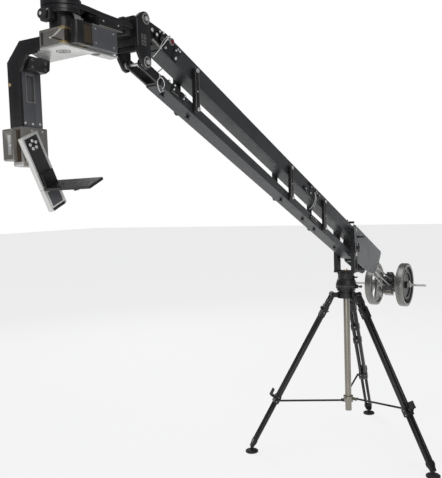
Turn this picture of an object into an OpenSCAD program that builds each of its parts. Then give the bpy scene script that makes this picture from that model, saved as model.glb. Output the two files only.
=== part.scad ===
// A camera jib crane: a parallelogram arm on a three-legged stand, with a two-axis remote head.
// X runs along the arm with the head towards -X, Y runs across it, and Z is up from the floor.
// The origin is on the floor, at the middle of the whole crane's outline seen from above.

/* [Place of the stand] */
// Distance of the stand's axis from the origin along X
axis_x = 730.7; // [725:0.1:735]
// Distance of the stand's axis from the origin along Y
axis_y = 47.2; // [40:0.1:55]

/* [Legs] */
// Height of the leg hinges above the floor
hinge_z = 1050; // [1040:1:1060]
// Distance of the leg hinges from the stand's axis
hinge_r = 96; // [94:1:98]
// Angle of each leg from the vertical
leg_splay = 30; // [28:0.5:32]
// Height of the foot pivots above the floor
foot_pivot_z = 40; // [38:1:44]
// Direction of the first leg, seen from above
leg_turn = 128; // [120:1:135]
// Radius of the two tubes of each upper leg
upper_r = 13; // [12.5:0.1:13.5]
// Radius of the two tubes of each lower leg
lower_r = 10.5; // [10:0.1:10.8]
// Distance of the leg tubes from the middle of the leg
leg_y = 15.5; // [15:0.1:16.5]
// Distance from the hinge to the middle of the clamp collar, along the leg
collar_at = 803; // [780:1:820]
// Radius of the rubber foot pads
pad_r = 43; // [38:1:46]

/* [Column and spreader] */
// Radius of the column tube
column_r = 21.5; // [20:0.5:24]
// Height of the lower end of the column
column_bottom = 253; // [240:1:260]
// Height of the spreader hub's middle
hub_z = 325; // [315:1:330]
// Radius of the spreader rods
rod_r = 6.5; // [5:0.5:6.5]

/* [Pan bearing and fork] */
// Height of the top of the pan bearing's fixed base
base_top = 1080; // [1078:1:1084]
// Height of the top of the pan drum, where the fork stands
drum_top = 1196; // [1190:1:1200]
// Distance between the inner faces of the fork arms
fork_gap = 96; // [94:1:100]
// Thickness of each fork arm
fork_arm_t = 25; // [22:1:28]
// Length of each fork arm's section along X
fork_arm_l = 60; // [54:1:64]

/* [Arm] */
// Angle of the arm above the horizontal
arm_rise = 23; // [20:0.5:26]
// Height of the fork's upper pivot
upper_pivot_z = 1480; // [1470:1:1490]
// Vertical distance between the two pivots of every link
pivot_gap = 160; // [156:1:164]
// Distance from the fork pivots to the front pivots, along the arm
front_at = 2300; // [2290:1:2310]
// Distance from the fork pivots to the three links, along the arm
link_at = [1945, 985, 502];
// Distance from the fork pivots to the joint between the arm's two sections
section_at = 650; // [640:1:700]
// Outer width of the upper beam
beam_w = 77; // [76:1:78]
// Height of the upper beam
upper_h = 79; // [76:1:82]
// Outer width of the lower beam
lower_w = 74; // [72:1:75]
// Height of the lower beam
lower_h = 43; // [40:1:46]
// Wall of both beams
beam_wall = 3; // [2.5:0.5:4]
// Radius of the link and front pivot pins
pin_r = 6; // [5.5:0.5:6.5]
// Radius of the two fork pivot pins
fork_pin_r = 9; // [8:0.5:10]

/* [Counterweights] */
// Distance from the fork pivot to the weight bar, along the arm
bar_at = 1058; // [1040:1:1070]
// Distance of the weight bar below the line of the upper pivots
bar_drop = 60; // [55:1:65]
// Radius of the weight bar
bar_r = 9; // [8:0.5:10]
// Radius of the large weight plates
plate_r = 172; // [165:1:178]
// Thickness of the large weight plates' rim
plate_t = 56; // [50:1:60]
// Radius of the small weight plate
small_plate_r = 115; // [105:1:120]

/* [Remote head] */
// Distance of the head's pan axis in front of the stand's axis
head_at = 2486; // [2480:1:2490]
// Height of the underside of the head's yoke
yoke_z = 2199; // [2190:1:2205]
// Radius of the head's pan drum
head_drum_r = 66; // [62:1:70]
// Distance of the tilt axis in front of the pan axis
tilt_dx = 40; // [38:1:44]
// Height of the tilt axis
tilt_z = 1899; // [1890:1:1905]
// Angle of the tilt arm from the vertical
head_tilt = 26; // [20:1:30]

/* [Hidden] */
fine = 48;
leg_len = (hinge_z - foot_pivot_z) / cos(leg_splay);
leg_turns = [leg_turn, leg_turn + 120, leg_turn + 240];
hub_r = 33;
head_w = 28;
hub_lug_r = 48;
rod_hub_y = 32;
rod_leg_y = 44;
arm_cos = cos(arm_rise);
upper_z = upper_h / 2;
lower_z = lower_h / 2;
fork_y = fork_gap / 2;
fork_out = fork_y + fork_arm_t;
bush_r = 14;
running = 0.05;
plate_in = beam_w / 2 + 0.2;
plate_wall = 5;
link_y = beam_w / 2 + 0.3;
link_t = 20;
front_y = 44;
front_t = 12;
plate_y = 122;
small_y = 130;
web_t = 14;
hub_t = 24;
drag_z = 1364;
collar_w = 22;
dark = [0.13, 0.13, 0.14];
black = [0.07, 0.07, 0.075];
grey = [0.30, 0.31, 0.32];
silver = [0.74, 0.74, 0.72];
rubber_black = [0.05, 0.05, 0.05];

// Placing

module at_axis() {
    translate([axis_x, axis_y, 0]) children();
}

// The frame of one leg: its hinge is the origin, the leg hangs down -Z and leans outwards along +X
module leg_frame(turn) {
    at_axis() rotate([0, 0, turn]) translate([hinge_r, 0, hinge_z]) rotate([0, -leg_splay, 0]) children();
}

// The frame of a foot, upright, with its pivot as the origin
module foot_frame(turn) {
    foot_r = hinge_r + leg_len * sin(leg_splay);
    at_axis() rotate([0, 0, turn]) translate([foot_r, 0, foot_pivot_z]) children();
}

// The frame of the upper beam: the fork's upper pivot is the origin and the head lies towards -X
module boom_frame() {
    at_axis() translate([0, 0, upper_pivot_z]) rotate([0, arm_rise, 0]) children();
}

// The same for the lower beam
module lower_frame() {
    at_axis() translate([0, 0, upper_pivot_z - pivot_gap]) rotate([0, arm_rise, 0]) children();
}

// An upright frame at the upper pivot that lies a given distance along the arm
module link_frame(along) {
    at_axis() translate([-along * arm_cos, 0, upper_pivot_z + along * sin(arm_rise)]) children();
}

module head_frame() {
    at_axis() translate([-head_at, 0, yoke_z]) children();
}

// The frame of the tilt arm: the tilt axis is the origin and the arm hangs down -Z
module tilt_frame() {
    at_axis() translate([-head_at - tilt_dx, 0, tilt_z]) rotate([0, -head_tilt, 0]) children();
}

// Shapes

// A round bar along Y between two values of y
module y_bar(r, y0, y1) {
    translate([0, y0, 0]) rotate([-90, 0, 0]) cylinder(r = r, h = y1 - y0, $fn = fine);
}

// A round bar along Z between two values of z
module z_bar(r, z0, z1) {
    translate([0, 0, z0]) cylinder(r = r, h = z1 - z0, $fn = fine);
}

// A round bar along X between two values of x
module x_bar(r, x0, x1) {
    translate([x0, 0, 0]) rotate([0, 90, 0]) cylinder(r = r, h = x1 - x0, $fn = fine);
}

// A box between two corners
module box(low, high) {
    translate(low) cube(high - low);
}

// A flat plate with the given outline in X and Z, between two values of y
module xz_plate(points, y0, y1) {
    translate([0, y1, 0]) rotate([90, 0, 0]) linear_extrude(height = y1 - y0) polygon(points);
}

// The same with an outline in Y and Z, between two values of x
module yz_plate(points, x0, x1) {
    translate([x0, 0, 0]) rotate([90, 0, 90]) linear_extrude(height = x1 - x0) polygon(points);
}

// A box with its four edges along X rounded
module soft_box(low, high, r) {
    size = high - low;
    translate(low) rotate([90, 0, 90]) linear_extrude(height = size[0]) {
        translate([r, 0]) square([size[1] - 2 * r, size[2]]);
        translate([0, r]) square([size[1], size[2] - 2 * r]);
        for (y = [r, size[1] - r], z = [r, size[2] - r]) translate([y, z]) circle(r = r, $fn = 32);
    }
}

// A rectangular tube along X from one distance along the arm to another
module beam(from, to, w, h, z) {
    difference() {
        translate([-to, -w / 2, -z]) cube([to - from, w, h]);
        translate([-to - 1, -w / 2 + beam_wall, -z + beam_wall])
            cube([to - from + 2, w - 2 * beam_wall, h - 2 * beam_wall]);
    }
}

// A cross tube inside a beam that a pivot pin passes through
module bush(at, w, r) {
    translate([-at, 0, 0]) y_bar(r, -w / 2 + beam_wall / 2, w / 2 - beam_wall / 2);
}

module pin_hole(at, r) {
    translate([-at, 0, 0]) y_bar(r, -100, 100);
}

// A tube with round rings through the given points, closed at both ends
function unit(v) = v / norm(v);
function tangent(p, i) = unit(p[min(i + 1, len(p) - 1)] - p[max(i - 1, 0)]);
function side(t) = unit(cross(t, abs(t[1]) > 0.9 ? [1, 0, 0] : [0, 1, 0]));
module sweep(p, r, sides) {
    rings = [
        for (i = [0 : len(p) - 1])
            let (t = tangent(p, i), u = side(t), v = cross(t, u))
                for (k = [0 : sides - 1])
                    p[i] + r * (cos(360 * k / sides) * u + sin(360 * k / sides) * v)
    ];
    walls = [
        for (i = [0 : len(p) - 2], k = [0 : sides - 1])
            let (a = i * sides + k, b = i * sides + (k + 1) % sides)
                [a, a + sides, b + sides, b]
    ];
    first = [for (k = [0 : sides - 1]) k];
    last = [for (k = [sides - 1 : -1 : 0]) (len(p) - 1) * sides + k];
    polyhedron(points = rings, faces = concat(walls, [first, last]));
}

// Stand

module crown() {
    color(black) at_axis() difference() {
        union() {
            z_bar(62, hinge_z - 26, hinge_z + 10);
            for (turn = leg_turns) rotate([0, 0, turn]) {
                box([50, -12, hinge_z - 20], [hinge_r, 12, hinge_z + 10]);
                translate([hinge_r, 0, hinge_z]) y_bar(17, -12, 12);
            }
        }
        z_bar(column_r, hinge_z - 30, hinge_z + 20);
        for (turn = leg_turns) rotate([0, 0, turn]) translate([hinge_r, 0, hinge_z]) y_bar(7, -40, 40);
    }
}

module centre_column() {
    color([0.72, 0.70, 0.64]) at_axis() difference() {
        z_bar(column_r, column_bottom, hinge_z + 10);
        z_bar(column_r - 4, column_bottom - 1, hinge_z - 40);
    }
}

module column_cap() {
    color([0.72, 0.70, 0.64]) at_axis() difference() {
        union() {
            z_bar(column_r - 4, column_bottom - 6, column_bottom + 30);
            z_bar(column_r, column_bottom - 8, column_bottom);
        }
        z_bar(8, column_bottom - 20, column_bottom + 40);
    }
}

module leg_hinge_pins() {
    color(silver) for (turn = leg_turns) at_axis() rotate([0, 0, turn])
        translate([hinge_r, 0, hinge_z]) {
            y_bar(7, -head_w - 1, head_w + 1);
            y_bar(10, -head_w - 6, -head_w - 1);
            y_bar(10, head_w + 1, head_w + 6);
        }
}

// The upper leg: two tubes with a forked head, an upper clamp block and the collar of the lower clamp
module upper_leg(turn) {
    color(black) leg_frame(turn) difference() {
        union() {
            for (y = [-head_w, 13]) {
                y_bar(18, y, y + head_w - 13);
                box([-12, y, -52], [12, y + head_w - 13, 0]);
            }
            box([-14, -head_w, -66], [14, head_w, -44]);
            box([-16, -30, -168], [16, 30, -92]);
            box([-17, -31, -collar_at - 26], [17, 31, -collar_at + 26]);
            for (y = [-leg_y, leg_y]) translate([0, y, 0]) z_bar(upper_r, -collar_at, -50);
            translate([0, 0, -collar_at]) y_bar(12, 28, 35);
            translate([0, 0, -collar_at + 8]) box([15, -13, -9], [43, 13, 9]);
            box([12, -9, -122], [30, 9, -104]);
        }
        for (y = [-leg_y, leg_y]) translate([0, y, 0]) z_bar(lower_r + 0.7, -collar_at - 40, -118);
        y_bar(7 + running, -30, 30);
        translate([36, 0, -collar_at + 8]) y_bar(3 + running, -20, 20);
    }
}

// The lower leg: two tubes that slide in the upper ones, joined by the fork of the foot
module lower_leg(turn) {
    color(dark) leg_frame(turn) difference() {
        union() {
            for (y = [-leg_y, leg_y]) translate([0, y, 0]) z_bar(lower_r, -leg_len + 30, -430);
            box([-13, -27, -leg_len + 26], [13, 27, -leg_len + 52]);
            for (y = [-18, 8]) {
                box([-11, y, -leg_len], [11, y + 10, -leg_len + 30]);
                translate([0, 0, -leg_len]) y_bar(11, y, y + 10);
            }
        }
        for (y = [-leg_y, leg_y]) translate([0, y, 0]) z_bar(lower_r - 2, -leg_len + 60, -425);
        translate([0, 0, -leg_len]) y_bar(5 + running, -30, 30);
    }
}

module foot(turn) {
    color(rubber_black) foot_frame(turn) union() {
        rotate_extrude($fn = fine) polygon([
            [0, -40], [pad_r - 2, -40], [pad_r, -37], [pad_r, -30], [pad_r - 5, -26], [17, -21], [11, -16], [0, -16]
        ]);
        box([-9, -7, -20], [9, 7, 0]);
        y_bar(9, -7, 7);
        y_bar(5, -22, 22);
    }
}

module clamp_lever(turn) {
    color(dark) leg_frame(turn) translate([36, 0, -collar_at + 8]) {
        y_bar(3, -22, 22);
        for (y = [-22, 14]) {
            y_bar(7, y, y + 8);
            box([0, y, -4], [16, y + 8, 4]);
        }
        box([13, -22, -4], [21, 22, 44]);
    }
}

module spreader_hub() {
    color([0.55, 0.54, 0.50]) at_axis() difference() {
        union() {
            z_bar(hub_r, hub_z - 20, hub_z + 20);
            for (turn = leg_turns) rotate([0, 0, turn])
                box([0, rod_hub_y - 16, hub_z - 9], [hub_lug_r + 8, rod_hub_y - 7, hub_z + 9]);
        }
        z_bar(column_r + 0.4, hub_z - 30, hub_z + 30);
        for (turn = leg_turns) rotate([0, 0, turn]) translate([hub_lug_r, 0, hub_z])
            y_bar(3 + running, rod_hub_y - 20, rod_hub_y + 5);
    }
}

// One rod of the spreader: it hinges on the hub and lies beside the clamp collar of its leg
module spreader_rod(turn) {
    out = hinge_r + collar_at * sin(leg_splay) - hub_lug_r;
    up = hinge_z - collar_at * cos(leg_splay) - hub_z;
    across = rod_leg_y - rod_hub_y;
    long = norm([out, across, up]);
    color(dark) at_axis() rotate([0, 0, turn]) translate([hub_lug_r, 0, hub_z]) {
        y_bar(3, rod_hub_y - 16, rod_hub_y - 4);
        y_bar(9, rod_hub_y - 6.5, rod_hub_y + 5);
        translate([0, rod_hub_y, 0]) rotate([0, -atan(up / out), 0]) rotate([0, 0, atan(across / out)])
            x_bar(rod_r, 0, long);
        translate([out, 0, up]) y_bar(9, rod_leg_y - 5, rod_leg_y + 5);
    }
}

module pan_base() {
    color(dark) at_axis() difference() {
        union() {
            z_bar(53, hinge_z + 10, base_top - 6);
            z_bar(62, base_top - 6, base_top);
            z_bar(20, base_top, drum_top - 30);
        }
        z_bar(6, hinge_z, drum_top);
    }
}

// Pan drum, fork and brakes

module pan_drum() {
    color(dark) at_axis() difference() {
        union() {
            rotate_extrude($fn = 64) polygon([
                [0, base_top + 0.5], [62, base_top + 0.5], [69, base_top + 12], [69, base_top + 36],
                [66, base_top + 46], [60, base_top + 66], [56, base_top + 72], [54, base_top + 76],
                [54, drum_top - 12], [57, drum_top - 10], [57, drum_top - 4], [54, drum_top], [0, drum_top]
            ]);
            translate([0, 0, base_top + 22]) y_bar(13, -84, -60);
            translate([0, 0, drum_top - 32]) y_bar(9, -62, -50);
        }
        z_bar(20 + running, base_top - 5, drum_top - 29.5);
        translate([0, 0, base_top + 22]) y_bar(4 + running, -90, -64);
    }
}

module pan_brake_knob() {
    color(black) at_axis() translate([0, 0, base_top + 22]) {
        y_bar(4, -96, -64);
        y_bar(8, -110, -96);
        box([-18, -108, -4], [18, -100, 4]);
    }
}

module fork() {
    color(black) at_axis() difference() {
        union() {
            box([-35, -fork_out, drum_top], [35, fork_out, drum_top + 12]);
            for (y = [-fork_out, fork_y]) {
                box([-fork_arm_l / 2, y, drum_top], [fork_arm_l / 2, y + fork_arm_t, upper_pivot_z]);
                translate([0, 0, upper_pivot_z]) y_bar(fork_arm_l / 2, y, y + fork_arm_t);
            }
        }
        for (z = [upper_pivot_z, upper_pivot_z - pivot_gap])
            translate([0, 0, z]) y_bar(fork_pin_r, -80, 80);
        translate([0, 0, drag_z]) y_bar(5 + running, -80, -fork_y + 5);
        for (y = [-fork_out - 1, fork_out - 5]) box([-16, y, drum_top + 26], [16, y + 6, drum_top + 84]);
    }
}

module fork_pins() {
    color(silver) at_axis() for (z = [upper_pivot_z, upper_pivot_z - pivot_gap]) translate([0, 0, z]) {
        y_bar(fork_pin_r, -fork_out, fork_out);
        y_bar(15, -fork_out - 6, -fork_out);
        y_bar(15, fork_out, fork_out + 6);
    }
}

module spirit_level() {
    color("gold") at_axis() {
        z_bar(10, drum_top + 12, drum_top + 18);
        translate([22, 0, 0]) z_bar(3, drum_top + 12, drum_top + 26);
    }
}

// The T-handle that presses the drag pad on the near fork arm
module drag_handle() {
    color(black) at_axis() translate([0, 0, drag_z]) {
        y_bar(5, -fork_out - 14, -fork_y - 4);
        y_bar(13, -fork_out - 12, -fork_out - 0.5);
        y_bar(8, -fork_out - 26, -fork_out - 12);
        translate([0, -fork_out - 21, 0]) z_bar(4.5, -30, 30);
    }
}

// A short cable on the near fork arm, clipped at both ends
cable_route = [
    [-12, -79.5, 1500], [-17, -80, 1494], [-21, -81, 1482], [-23, -81.5, 1466], [-24, -81.5, 1446],
    [-24, -81.5, 1424], [-24, -81.5, 1402], [-24, -81.5, 1382], [-23, -81, 1364], [-20, -80, 1348], [-14, -79.5, 1338]
];
module drag_cable() {
    color(grey) at_axis() {
        sweep(cable_route, 3.5, 8);
        for (p = [cable_route[0], cable_route[len(cable_route) - 1]])
            translate([p[0], 0, p[2]]) y_bar(7, p[1] - 1, -fork_out);
    }
}

// Arm

module upper_beam_front() {
    color(grey) boom_frame() difference() {
        union() {
            beam(section_at + 0.5, front_at - 140, beam_w, upper_h, upper_z);
            for (at = [link_at[0], link_at[1]]) bush(at, beam_w, bush_r);
        }
        for (at = [link_at[0], link_at[1]]) pin_hole(at, pin_r);
    }
}

module upper_beam_rear() {
    color(grey) boom_frame() difference() {
        union() {
            beam(-640, section_at, beam_w, upper_h, upper_z);
            bush(link_at[2], beam_w, bush_r);
            bush(0, beam_w, 20);
        }
        pin_hole(link_at[2], pin_r);
        pin_hole(0, fork_pin_r + running);
    }
}

module lower_beam() {
    color(grey) lower_frame() difference() {
        union() {
            beam(-34, section_at, lower_w, lower_h, lower_z);
            beam(section_at + 0.5, front_at - 120, lower_w, lower_h, lower_z);
            beam(section_at - 120, section_at + 120, lower_w - 2 * beam_wall, lower_h - 2 * beam_wall, lower_z - beam_wall);
            for (at = link_at) bush(at, lower_w, bush_r);
            bush(0, lower_w, 18);
            for (at = [-30, 500, 1200, 1900]) translate([-at - 4, -lower_w / 2 + 1, -lower_z + 1])
                cube([4, lower_w - 2, 8]);
        }
        for (at = link_at) pin_hole(at, pin_r);
        pin_hole(0, fork_pin_r + running);
    }
}

// The fitting at the front end of a beam: two cheeks with round lugs on a block inside the beam
module end_fitting(w, h, z, inset) {
    difference() {
        union() {
            translate([-front_at + 105, -w / 2 + beam_wall, -z + beam_wall])
                cube([180, w - 2 * beam_wall, h - 2 * beam_wall]);
            for (s = [-1, 1]) translate([0, s * (w / 2 - inset - 5), 0])
                xz_plate([[-front_at, -18], [-front_at, 18], [-front_at + 105, z - beam_wall],
                    [-front_at + 110, z - beam_wall], [-front_at + 110, -z + beam_wall],
                    [-front_at + 105, -z + beam_wall]], -5, 5);
            for (s = [-1, 1]) translate([-front_at, s * (w / 2 - inset - 5), 0]) y_bar(18, -5, 5);
        }
        pin_hole(front_at, pin_r);
        translate([-front_at + 130, -w / 2 + 12, -z + 9]) cube([170, w - 24, h - 18]);
    }
}

module beam_end_plates() {
    color(black) boom_frame() end_fitting(beam_w, upper_h, upper_z, 4);
}

module lower_fittings() {
    color(black) lower_frame() {
        end_fitting(lower_w, lower_h, lower_z, 4);
        for (at = [2120, 1934, 1010, 718, 544, 203]) translate([-at, 0, -lower_z - 7]) {
            z_bar(7, 0, 7);
            box([-12, -5, -4], [12, 5, 0]);
        }
    }
}

module section_plates() {
    color(black) boom_frame() {
        for (at = [section_at, front_at - 190]) for (s = [-1, 1])
            translate([-at, s * (beam_w / 2 + 2), 0]) box([-48, -2, -30], [48, 2, 30]);
        difference() {
            beam(section_at - 120, section_at + 120, beam_w - 2 * beam_wall, upper_h - 2 * beam_wall, upper_z - beam_wall);
            pin_hole(link_at[2], bush_r + 1);
        }
    }
}

// The screws of the plates at the beam's joints
module beam_bolts() {
    face = beam_w / 2 + 4;
    for (at = [section_at, front_at - 190], dx = [-36, 36], dz = [-20, 20]) translate([-at + dx, 0, dz]) {
        y_bar(5, face, face + 4);
        y_bar(5, -face - 4, -face);
    }
}

// A steel safety wire that hangs from the near side of the upper beam, with a crimped sleeve at its lower end
upper_wire = [
    [-2140, -44.8, 36], [-2156, -45, 26], [-2164, -44.8, 6], [-2169, -44.2, -22], [-2178, -43.6, -46], [-2186, -43.5, -68]
];
module safety_wires() {
    color(silver) boom_frame() {
        sweep(upper_wire, 1.6, 8);
        translate(upper_wire[0]) y_bar(4, -3, 44.8 - beam_w / 2);
        translate(upper_wire[5]) y_bar(4, -3, 3);
    }
}

// One link: a bar on each side of the arm between the pins of the two beams
module link(at) {
    color(black) link_frame(at) difference() {
        for (y = [-link_y - link_t, link_y]) {
            y_bar(15, y, y + link_t);
            box([-15, y, -pivot_gap], [15, y + link_t, 0]);
            translate([0, 0, -pivot_gap]) y_bar(15, y, y + link_t);
        }
        y_bar(pin_r + running, -80, 80);
        translate([0, 0, -pivot_gap]) y_bar(pin_r + 0.4, -80, 80);
    }
}

module link_pins(at) {
    reach = link_y + link_t;
    link_frame(at) {
        y_bar(pin_r, -reach - 1, reach + 1);
        for (y = [-reach - 6, reach + 1]) y_bar(9, y, y + 5);
    }
}

// A front pivot pin with the washers that keep the beam's lug between the front plates
module front_pin() {
    reach = front_y + front_t;
    link_frame(front_at) {
        y_bar(pin_r, -reach - 1, reach + 1);
        for (y = [-reach - 7, reach + 1]) y_bar(9, y, y + 6);
        for (y = [-front_y + 0.1, front_y - 9.1]) y_bar(14, y, y + 9);
    }
}

module boom_pins() {
    color(silver) {
        for (at = link_at) link_pins(at);
        front_pin();
        boom_frame() beam_bolts();
    }
}

module lower_pins() {
    color(silver) translate([0, 0, -pivot_gap]) {
        for (at = link_at) link_pins(at);
        front_pin();
    }
}

// Counterweight end

rear_outline = [
    [96, 62], [634, 62], [641, 50], [634, 10], [566, -124], [530, -146], [409, -165], [170, -165], [96, -95]
];
module rear_side_plates() {
    color(grey) boom_frame() difference() {
        union() {
            for (s = [-1, 1]) translate([0, s * (plate_in + plate_wall / 2), 0])
                xz_plate(rear_outline, -plate_wall / 2, plate_wall / 2);
            box([545, -plate_in, -110], [570, plate_in, -42]);
            box([180, -plate_in, -160], [205, plate_in, -148]);
        }
        for (z = [-100, -52], y = [-22, 22]) translate([0, y, z]) x_bar(6, 500, 600);
    }
}

module guide_rods() {
    color(silver) boom_frame() for (z = [-100, -52], y = [-22, 22]) translate([0, y, z]) x_bar(6, 546, 1140);
}

// The T-handle on top of the arm that locks its tilt
module lock_handle() {
    color(black) boom_frame() translate([18, 0, upper_z + 0.3]) {
        z_bar(12, 0, 8);
        z_bar(5, 0, 22);
        translate([0, 0, 24]) y_bar(6, -46, 46);
    }
}

module trolley() {
    color(dark) boom_frame() difference() {
        union() {
            box([bar_at - 45, -40, -128], [bar_at + 45, 40, -22]);
            box([bar_at - 30, -34, -22], [bar_at + 30, 34, 6]);
            box([bar_at - 34, -34, -160], [bar_at + 34, 34, -128]);
        }
        for (z = [-100, -52], y = [-22, 22]) translate([0, y, z]) x_bar(6.06, bar_at - 50, bar_at + 50);
        translate([bar_at, 0, -bar_drop - 15]) y_bar(bar_r, -50, 50);
    }
}

module bar_frame() {
    boom_frame() translate([bar_at, 0, -bar_drop - 15]) rotate([0, -arm_rise, 0]) children();
}

module weight_bar() {
    color(silver) bar_frame() {
        y_bar(bar_r, -290, 290);
        for (y = [-plate_y + plate_t / 2, 50]) y_bar(15, y, y + plate_y - plate_t / 2 - 50);
    }
}

// A large round weight: a deep rim, with a web and a hub at its +Y side and four grip openings
module large_weight() {
    face = plate_t / 2;
    difference() {
        union() {
            difference() {
                y_bar(plate_r, -face, face);
                y_bar(plate_r - 26, -face - 1, face + 1);
            }
            y_bar(plate_r - 20, face - web_t - 8, face - 8);
            y_bar(34, face - hub_t, face);
        }
        y_bar(bar_r + running, -face, face + 1);
        for (k = [0 : 3]) rotate([0, 90 * k + 45, 0]) translate([95, 0, 0])
            for (z = [-26, 0, 26]) translate([z == 0 ? 4 : -2, 0, z]) y_bar(22, -face, face);
    }
}

module near_plate() {
    color(silver) bar_frame() translate([0, -plate_y, 0]) large_weight();
}

module far_plate() {
    color(silver) bar_frame() translate([0, plate_y, 0]) rotate([180, 0, 0]) large_weight();
}

// The small weight lies inside the deep rim of the near one
module small_plate() {
    color(dark) bar_frame() translate([0, -small_y, 0]) difference() {
        union() {
            difference() {
                y_bar(small_plate_r, -12, 12);
                y_bar(small_plate_r - 18, -20, 20);
            }
            y_bar(small_plate_r - 12, -4, 8);
            y_bar(28, -20, 12);
        }
        y_bar(bar_r + running, -24, 20);
    }
}

// A clamp collar with its thumb screw, from one place on the bar outwards
module bar_collar(y) {
    color(silver) bar_frame() difference() {
        union() {
            y_bar(19, y, y + collar_w);
            translate([0, y + collar_w / 2, 0]) z_bar(5, 10, 34);
        }
        y_bar(bar_r + running, y - 5, y + 30);
    }
}

// Front of the arm

module front_plates() {
    color(black) link_frame(front_at) difference() {
        union() {
            for (s = [-1, 1]) translate([0, s * (front_y + front_t / 2), 0]) {
                xz_plate([[-54, -8], [-54, -112], [-46, -134], [-20, -172], [0, -184], [20, -172], [26, -150],
                    [26, 0], [20, 20], [0, 27], [-16, 24], [-34, 12]], -front_t / 2, front_t / 2);
            }
            box([-54, -front_y, -104], [-42, front_y, 4]);
            box([-50, -front_y, -124], [-30, front_y, -104]);
        }
        y_bar(pin_r + running, -80, 80);
        translate([0, 0, -pivot_gap]) y_bar(pin_r + 0.4, -80, 80);
        for (z = [-98, -84, -70], x = [-26, -10]) box([x, -80, z], [x + 8, -front_y + 1, z + 9]);
    }
}

// The fixed arm that carries the head: the drum's cover, a stiff plate and its root at the front plates
module head_bracket() {
    root_x = head_at - front_at * arm_cos - 54;
    color(black) head_frame() union() {
        z_bar(head_drum_r, 136, 162);
        difference() {
            box([0, -45, 118], [root_x, 45, 150]);
            z_bar(head_drum_r + 1, 100, 136);
        }
        box([root_x - 46, -40, 104], [root_x, 40, 172]);
        box([76, -96, 84], [190, -20, 118]);
    }
}

module head_drum() {
    color(dark) head_frame() difference() {
        union() {
            z_bar(head_drum_r, 110, 136);
            z_bar(41, 64, 112);
            box([-head_drum_r - 10, -22, 84], [-head_drum_r + 20, 22, 122]);
        }
        translate([0, 0, 102]) x_bar(5 + running, -head_drum_r - 34, -head_drum_r + 6);
        z_bar(18 + running, 60, 128);
    }
}

module head_lock_knob() {
    color(black) head_frame() translate([-head_drum_r - 10, 0, 102]) {
        x_bar(5, -6, 14);
        x_bar(17, -16, -0.5);
    }
}

// The yoke's base plate and rear block, seen from below
base_outline = [[-55, -60], [190, -69], [190, -33], [84, -30], [84, 172], [-38, 110], [-38, 50], [-55, 50]];
block_outline = [[-38, 50], [70, 50], [70, 163], [-38, 108]];
module yoke() {
    color([0.62, 0.60, 0.58]) head_frame() difference() {
        union() {
            linear_extrude(height = 8) polygon(base_outline);
            box([-55, -60, 8], [55, 50, 63]);
            translate([0, 0, 8]) linear_extrude(height = 42) polygon(block_outline);
            z_bar(18, 60, 126);
        }
        box([-60, -42, 18], [-47, 32, 50]);
        for (x = [-52, -45, -38]) box([x, -70, 16], [x + 4, -53, 56]);
        z_bar(12, -1, 4);
    }
}

// The grey drive housing that wraps the yoke's near side and its rear
module yoke_housing() {
    soft = 14;
    color(dark) head_frame() translate([0, 0, 8]) linear_extrude(height = 74) {
        translate([-34, -96]) square([202 - soft, 35.7]);
        translate([168 - soft, -96 + soft]) square([soft, 36]);
        translate([168 - soft, -96 + soft]) circle(r = soft, $fn = 32);
        translate([55.3, -60.3]) square([112.7, 40.3]);
    }
}

// The outline of the side arm in Y and Z: along the yoke, round a cut corner, and down to the tilt unit
side_outline = [
    [50, 6], [50, 47], [155, 49], [222, -15], [222, -237], [163, -237], [163, -51], [150, -40], [120, -1], [80, 0], [80, 6]
];
module side_arm() {
    color(black) head_frame() difference() {
        union() {
            yz_plate(side_outline, -50, -38);
            box([-38, 165, -237], [45, 221, 8]);
            box([-34, 128, -52], [60, 165, -0.5]);
        }
        box([-20, 160, -150], [24, 168, -60]);
    }
}

module tilt_motor() {
    hub = [-tilt_dx, 0, tilt_z - yoke_z];
    color(silver) head_frame() difference() {
        union() {
            soft_box([-64, 148, -372], [50, 198, -237], 8);
            soft_box([-60, 198, -349], [40, 256, -239], 9);
            translate(hub) y_bar(20, 142, 150);
        }
        box([-70, 154, -352], [-58, 190, -262]);
        translate(hub) y_bar(8 + running, 130, 190);
    }
}

module tilt_arm() {
    color(silver) tilt_frame() difference() {
        union() {
            box([-39, 120, -238], [39, 141, 36]);
            y_bar(8, 141, 186);
        }
        box([-29, 118, -148], [29, 124, 22]);
        box([-29, 118, -226], [29, 124, -162]);
        for (z = [-130, -110]) translate([0, 0, z]) y_bar(3.2, 100, 150);
    }
}

module camera_platform() {
    color(black) tilt_frame() difference() {
        union() {
            box([-36, -95, -158], [36, 117.5, -148.5]);
            box([-28, 110.5, -148.5], [28, 117.5, -100]);
            box([-24, 117.5, -140], [24, 123.5, -104]);
            translate([0, 0, -172]) z_bar(14, 0, 14);
        }
        z_bar(4.9, -190, -140);
        for (y = [-60, 60]) translate([0, y, 0]) z_bar(3.3, -170, -140);
    }
}

crown();
centre_column();
column_cap();
leg_hinge_pins();
pan_base();
upper_leg(leg_turns[0]);  // upper_leg_left
upper_leg(leg_turns[1]);  // upper_leg_right
upper_leg(leg_turns[2]);  // upper_leg_rear
lower_leg(leg_turns[0]);  // lower_leg_left
lower_leg(leg_turns[1]);  // lower_leg_right
lower_leg(leg_turns[2]);  // lower_leg_rear
foot(leg_turns[0]);  // foot_left
foot(leg_turns[1]);  // foot_right
foot(leg_turns[2]);  // foot_rear
clamp_lever(leg_turns[0]);  // clamp_lever_left
clamp_lever(leg_turns[1]);  // clamp_lever_right
clamp_lever(leg_turns[2]);  // clamp_lever_rear
spreader_hub();
spreader_rod(leg_turns[0]);  // spreader_rod_left
spreader_rod(leg_turns[1]);  // spreader_rod_right
spreader_rod(leg_turns[2]);  // spreader_rod_rear
pan_drum();
pan_brake_knob();
fork();
fork_pins();
spirit_level();
drag_handle();
drag_cable();
upper_beam_front();
upper_beam_rear();
lower_beam();
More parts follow.
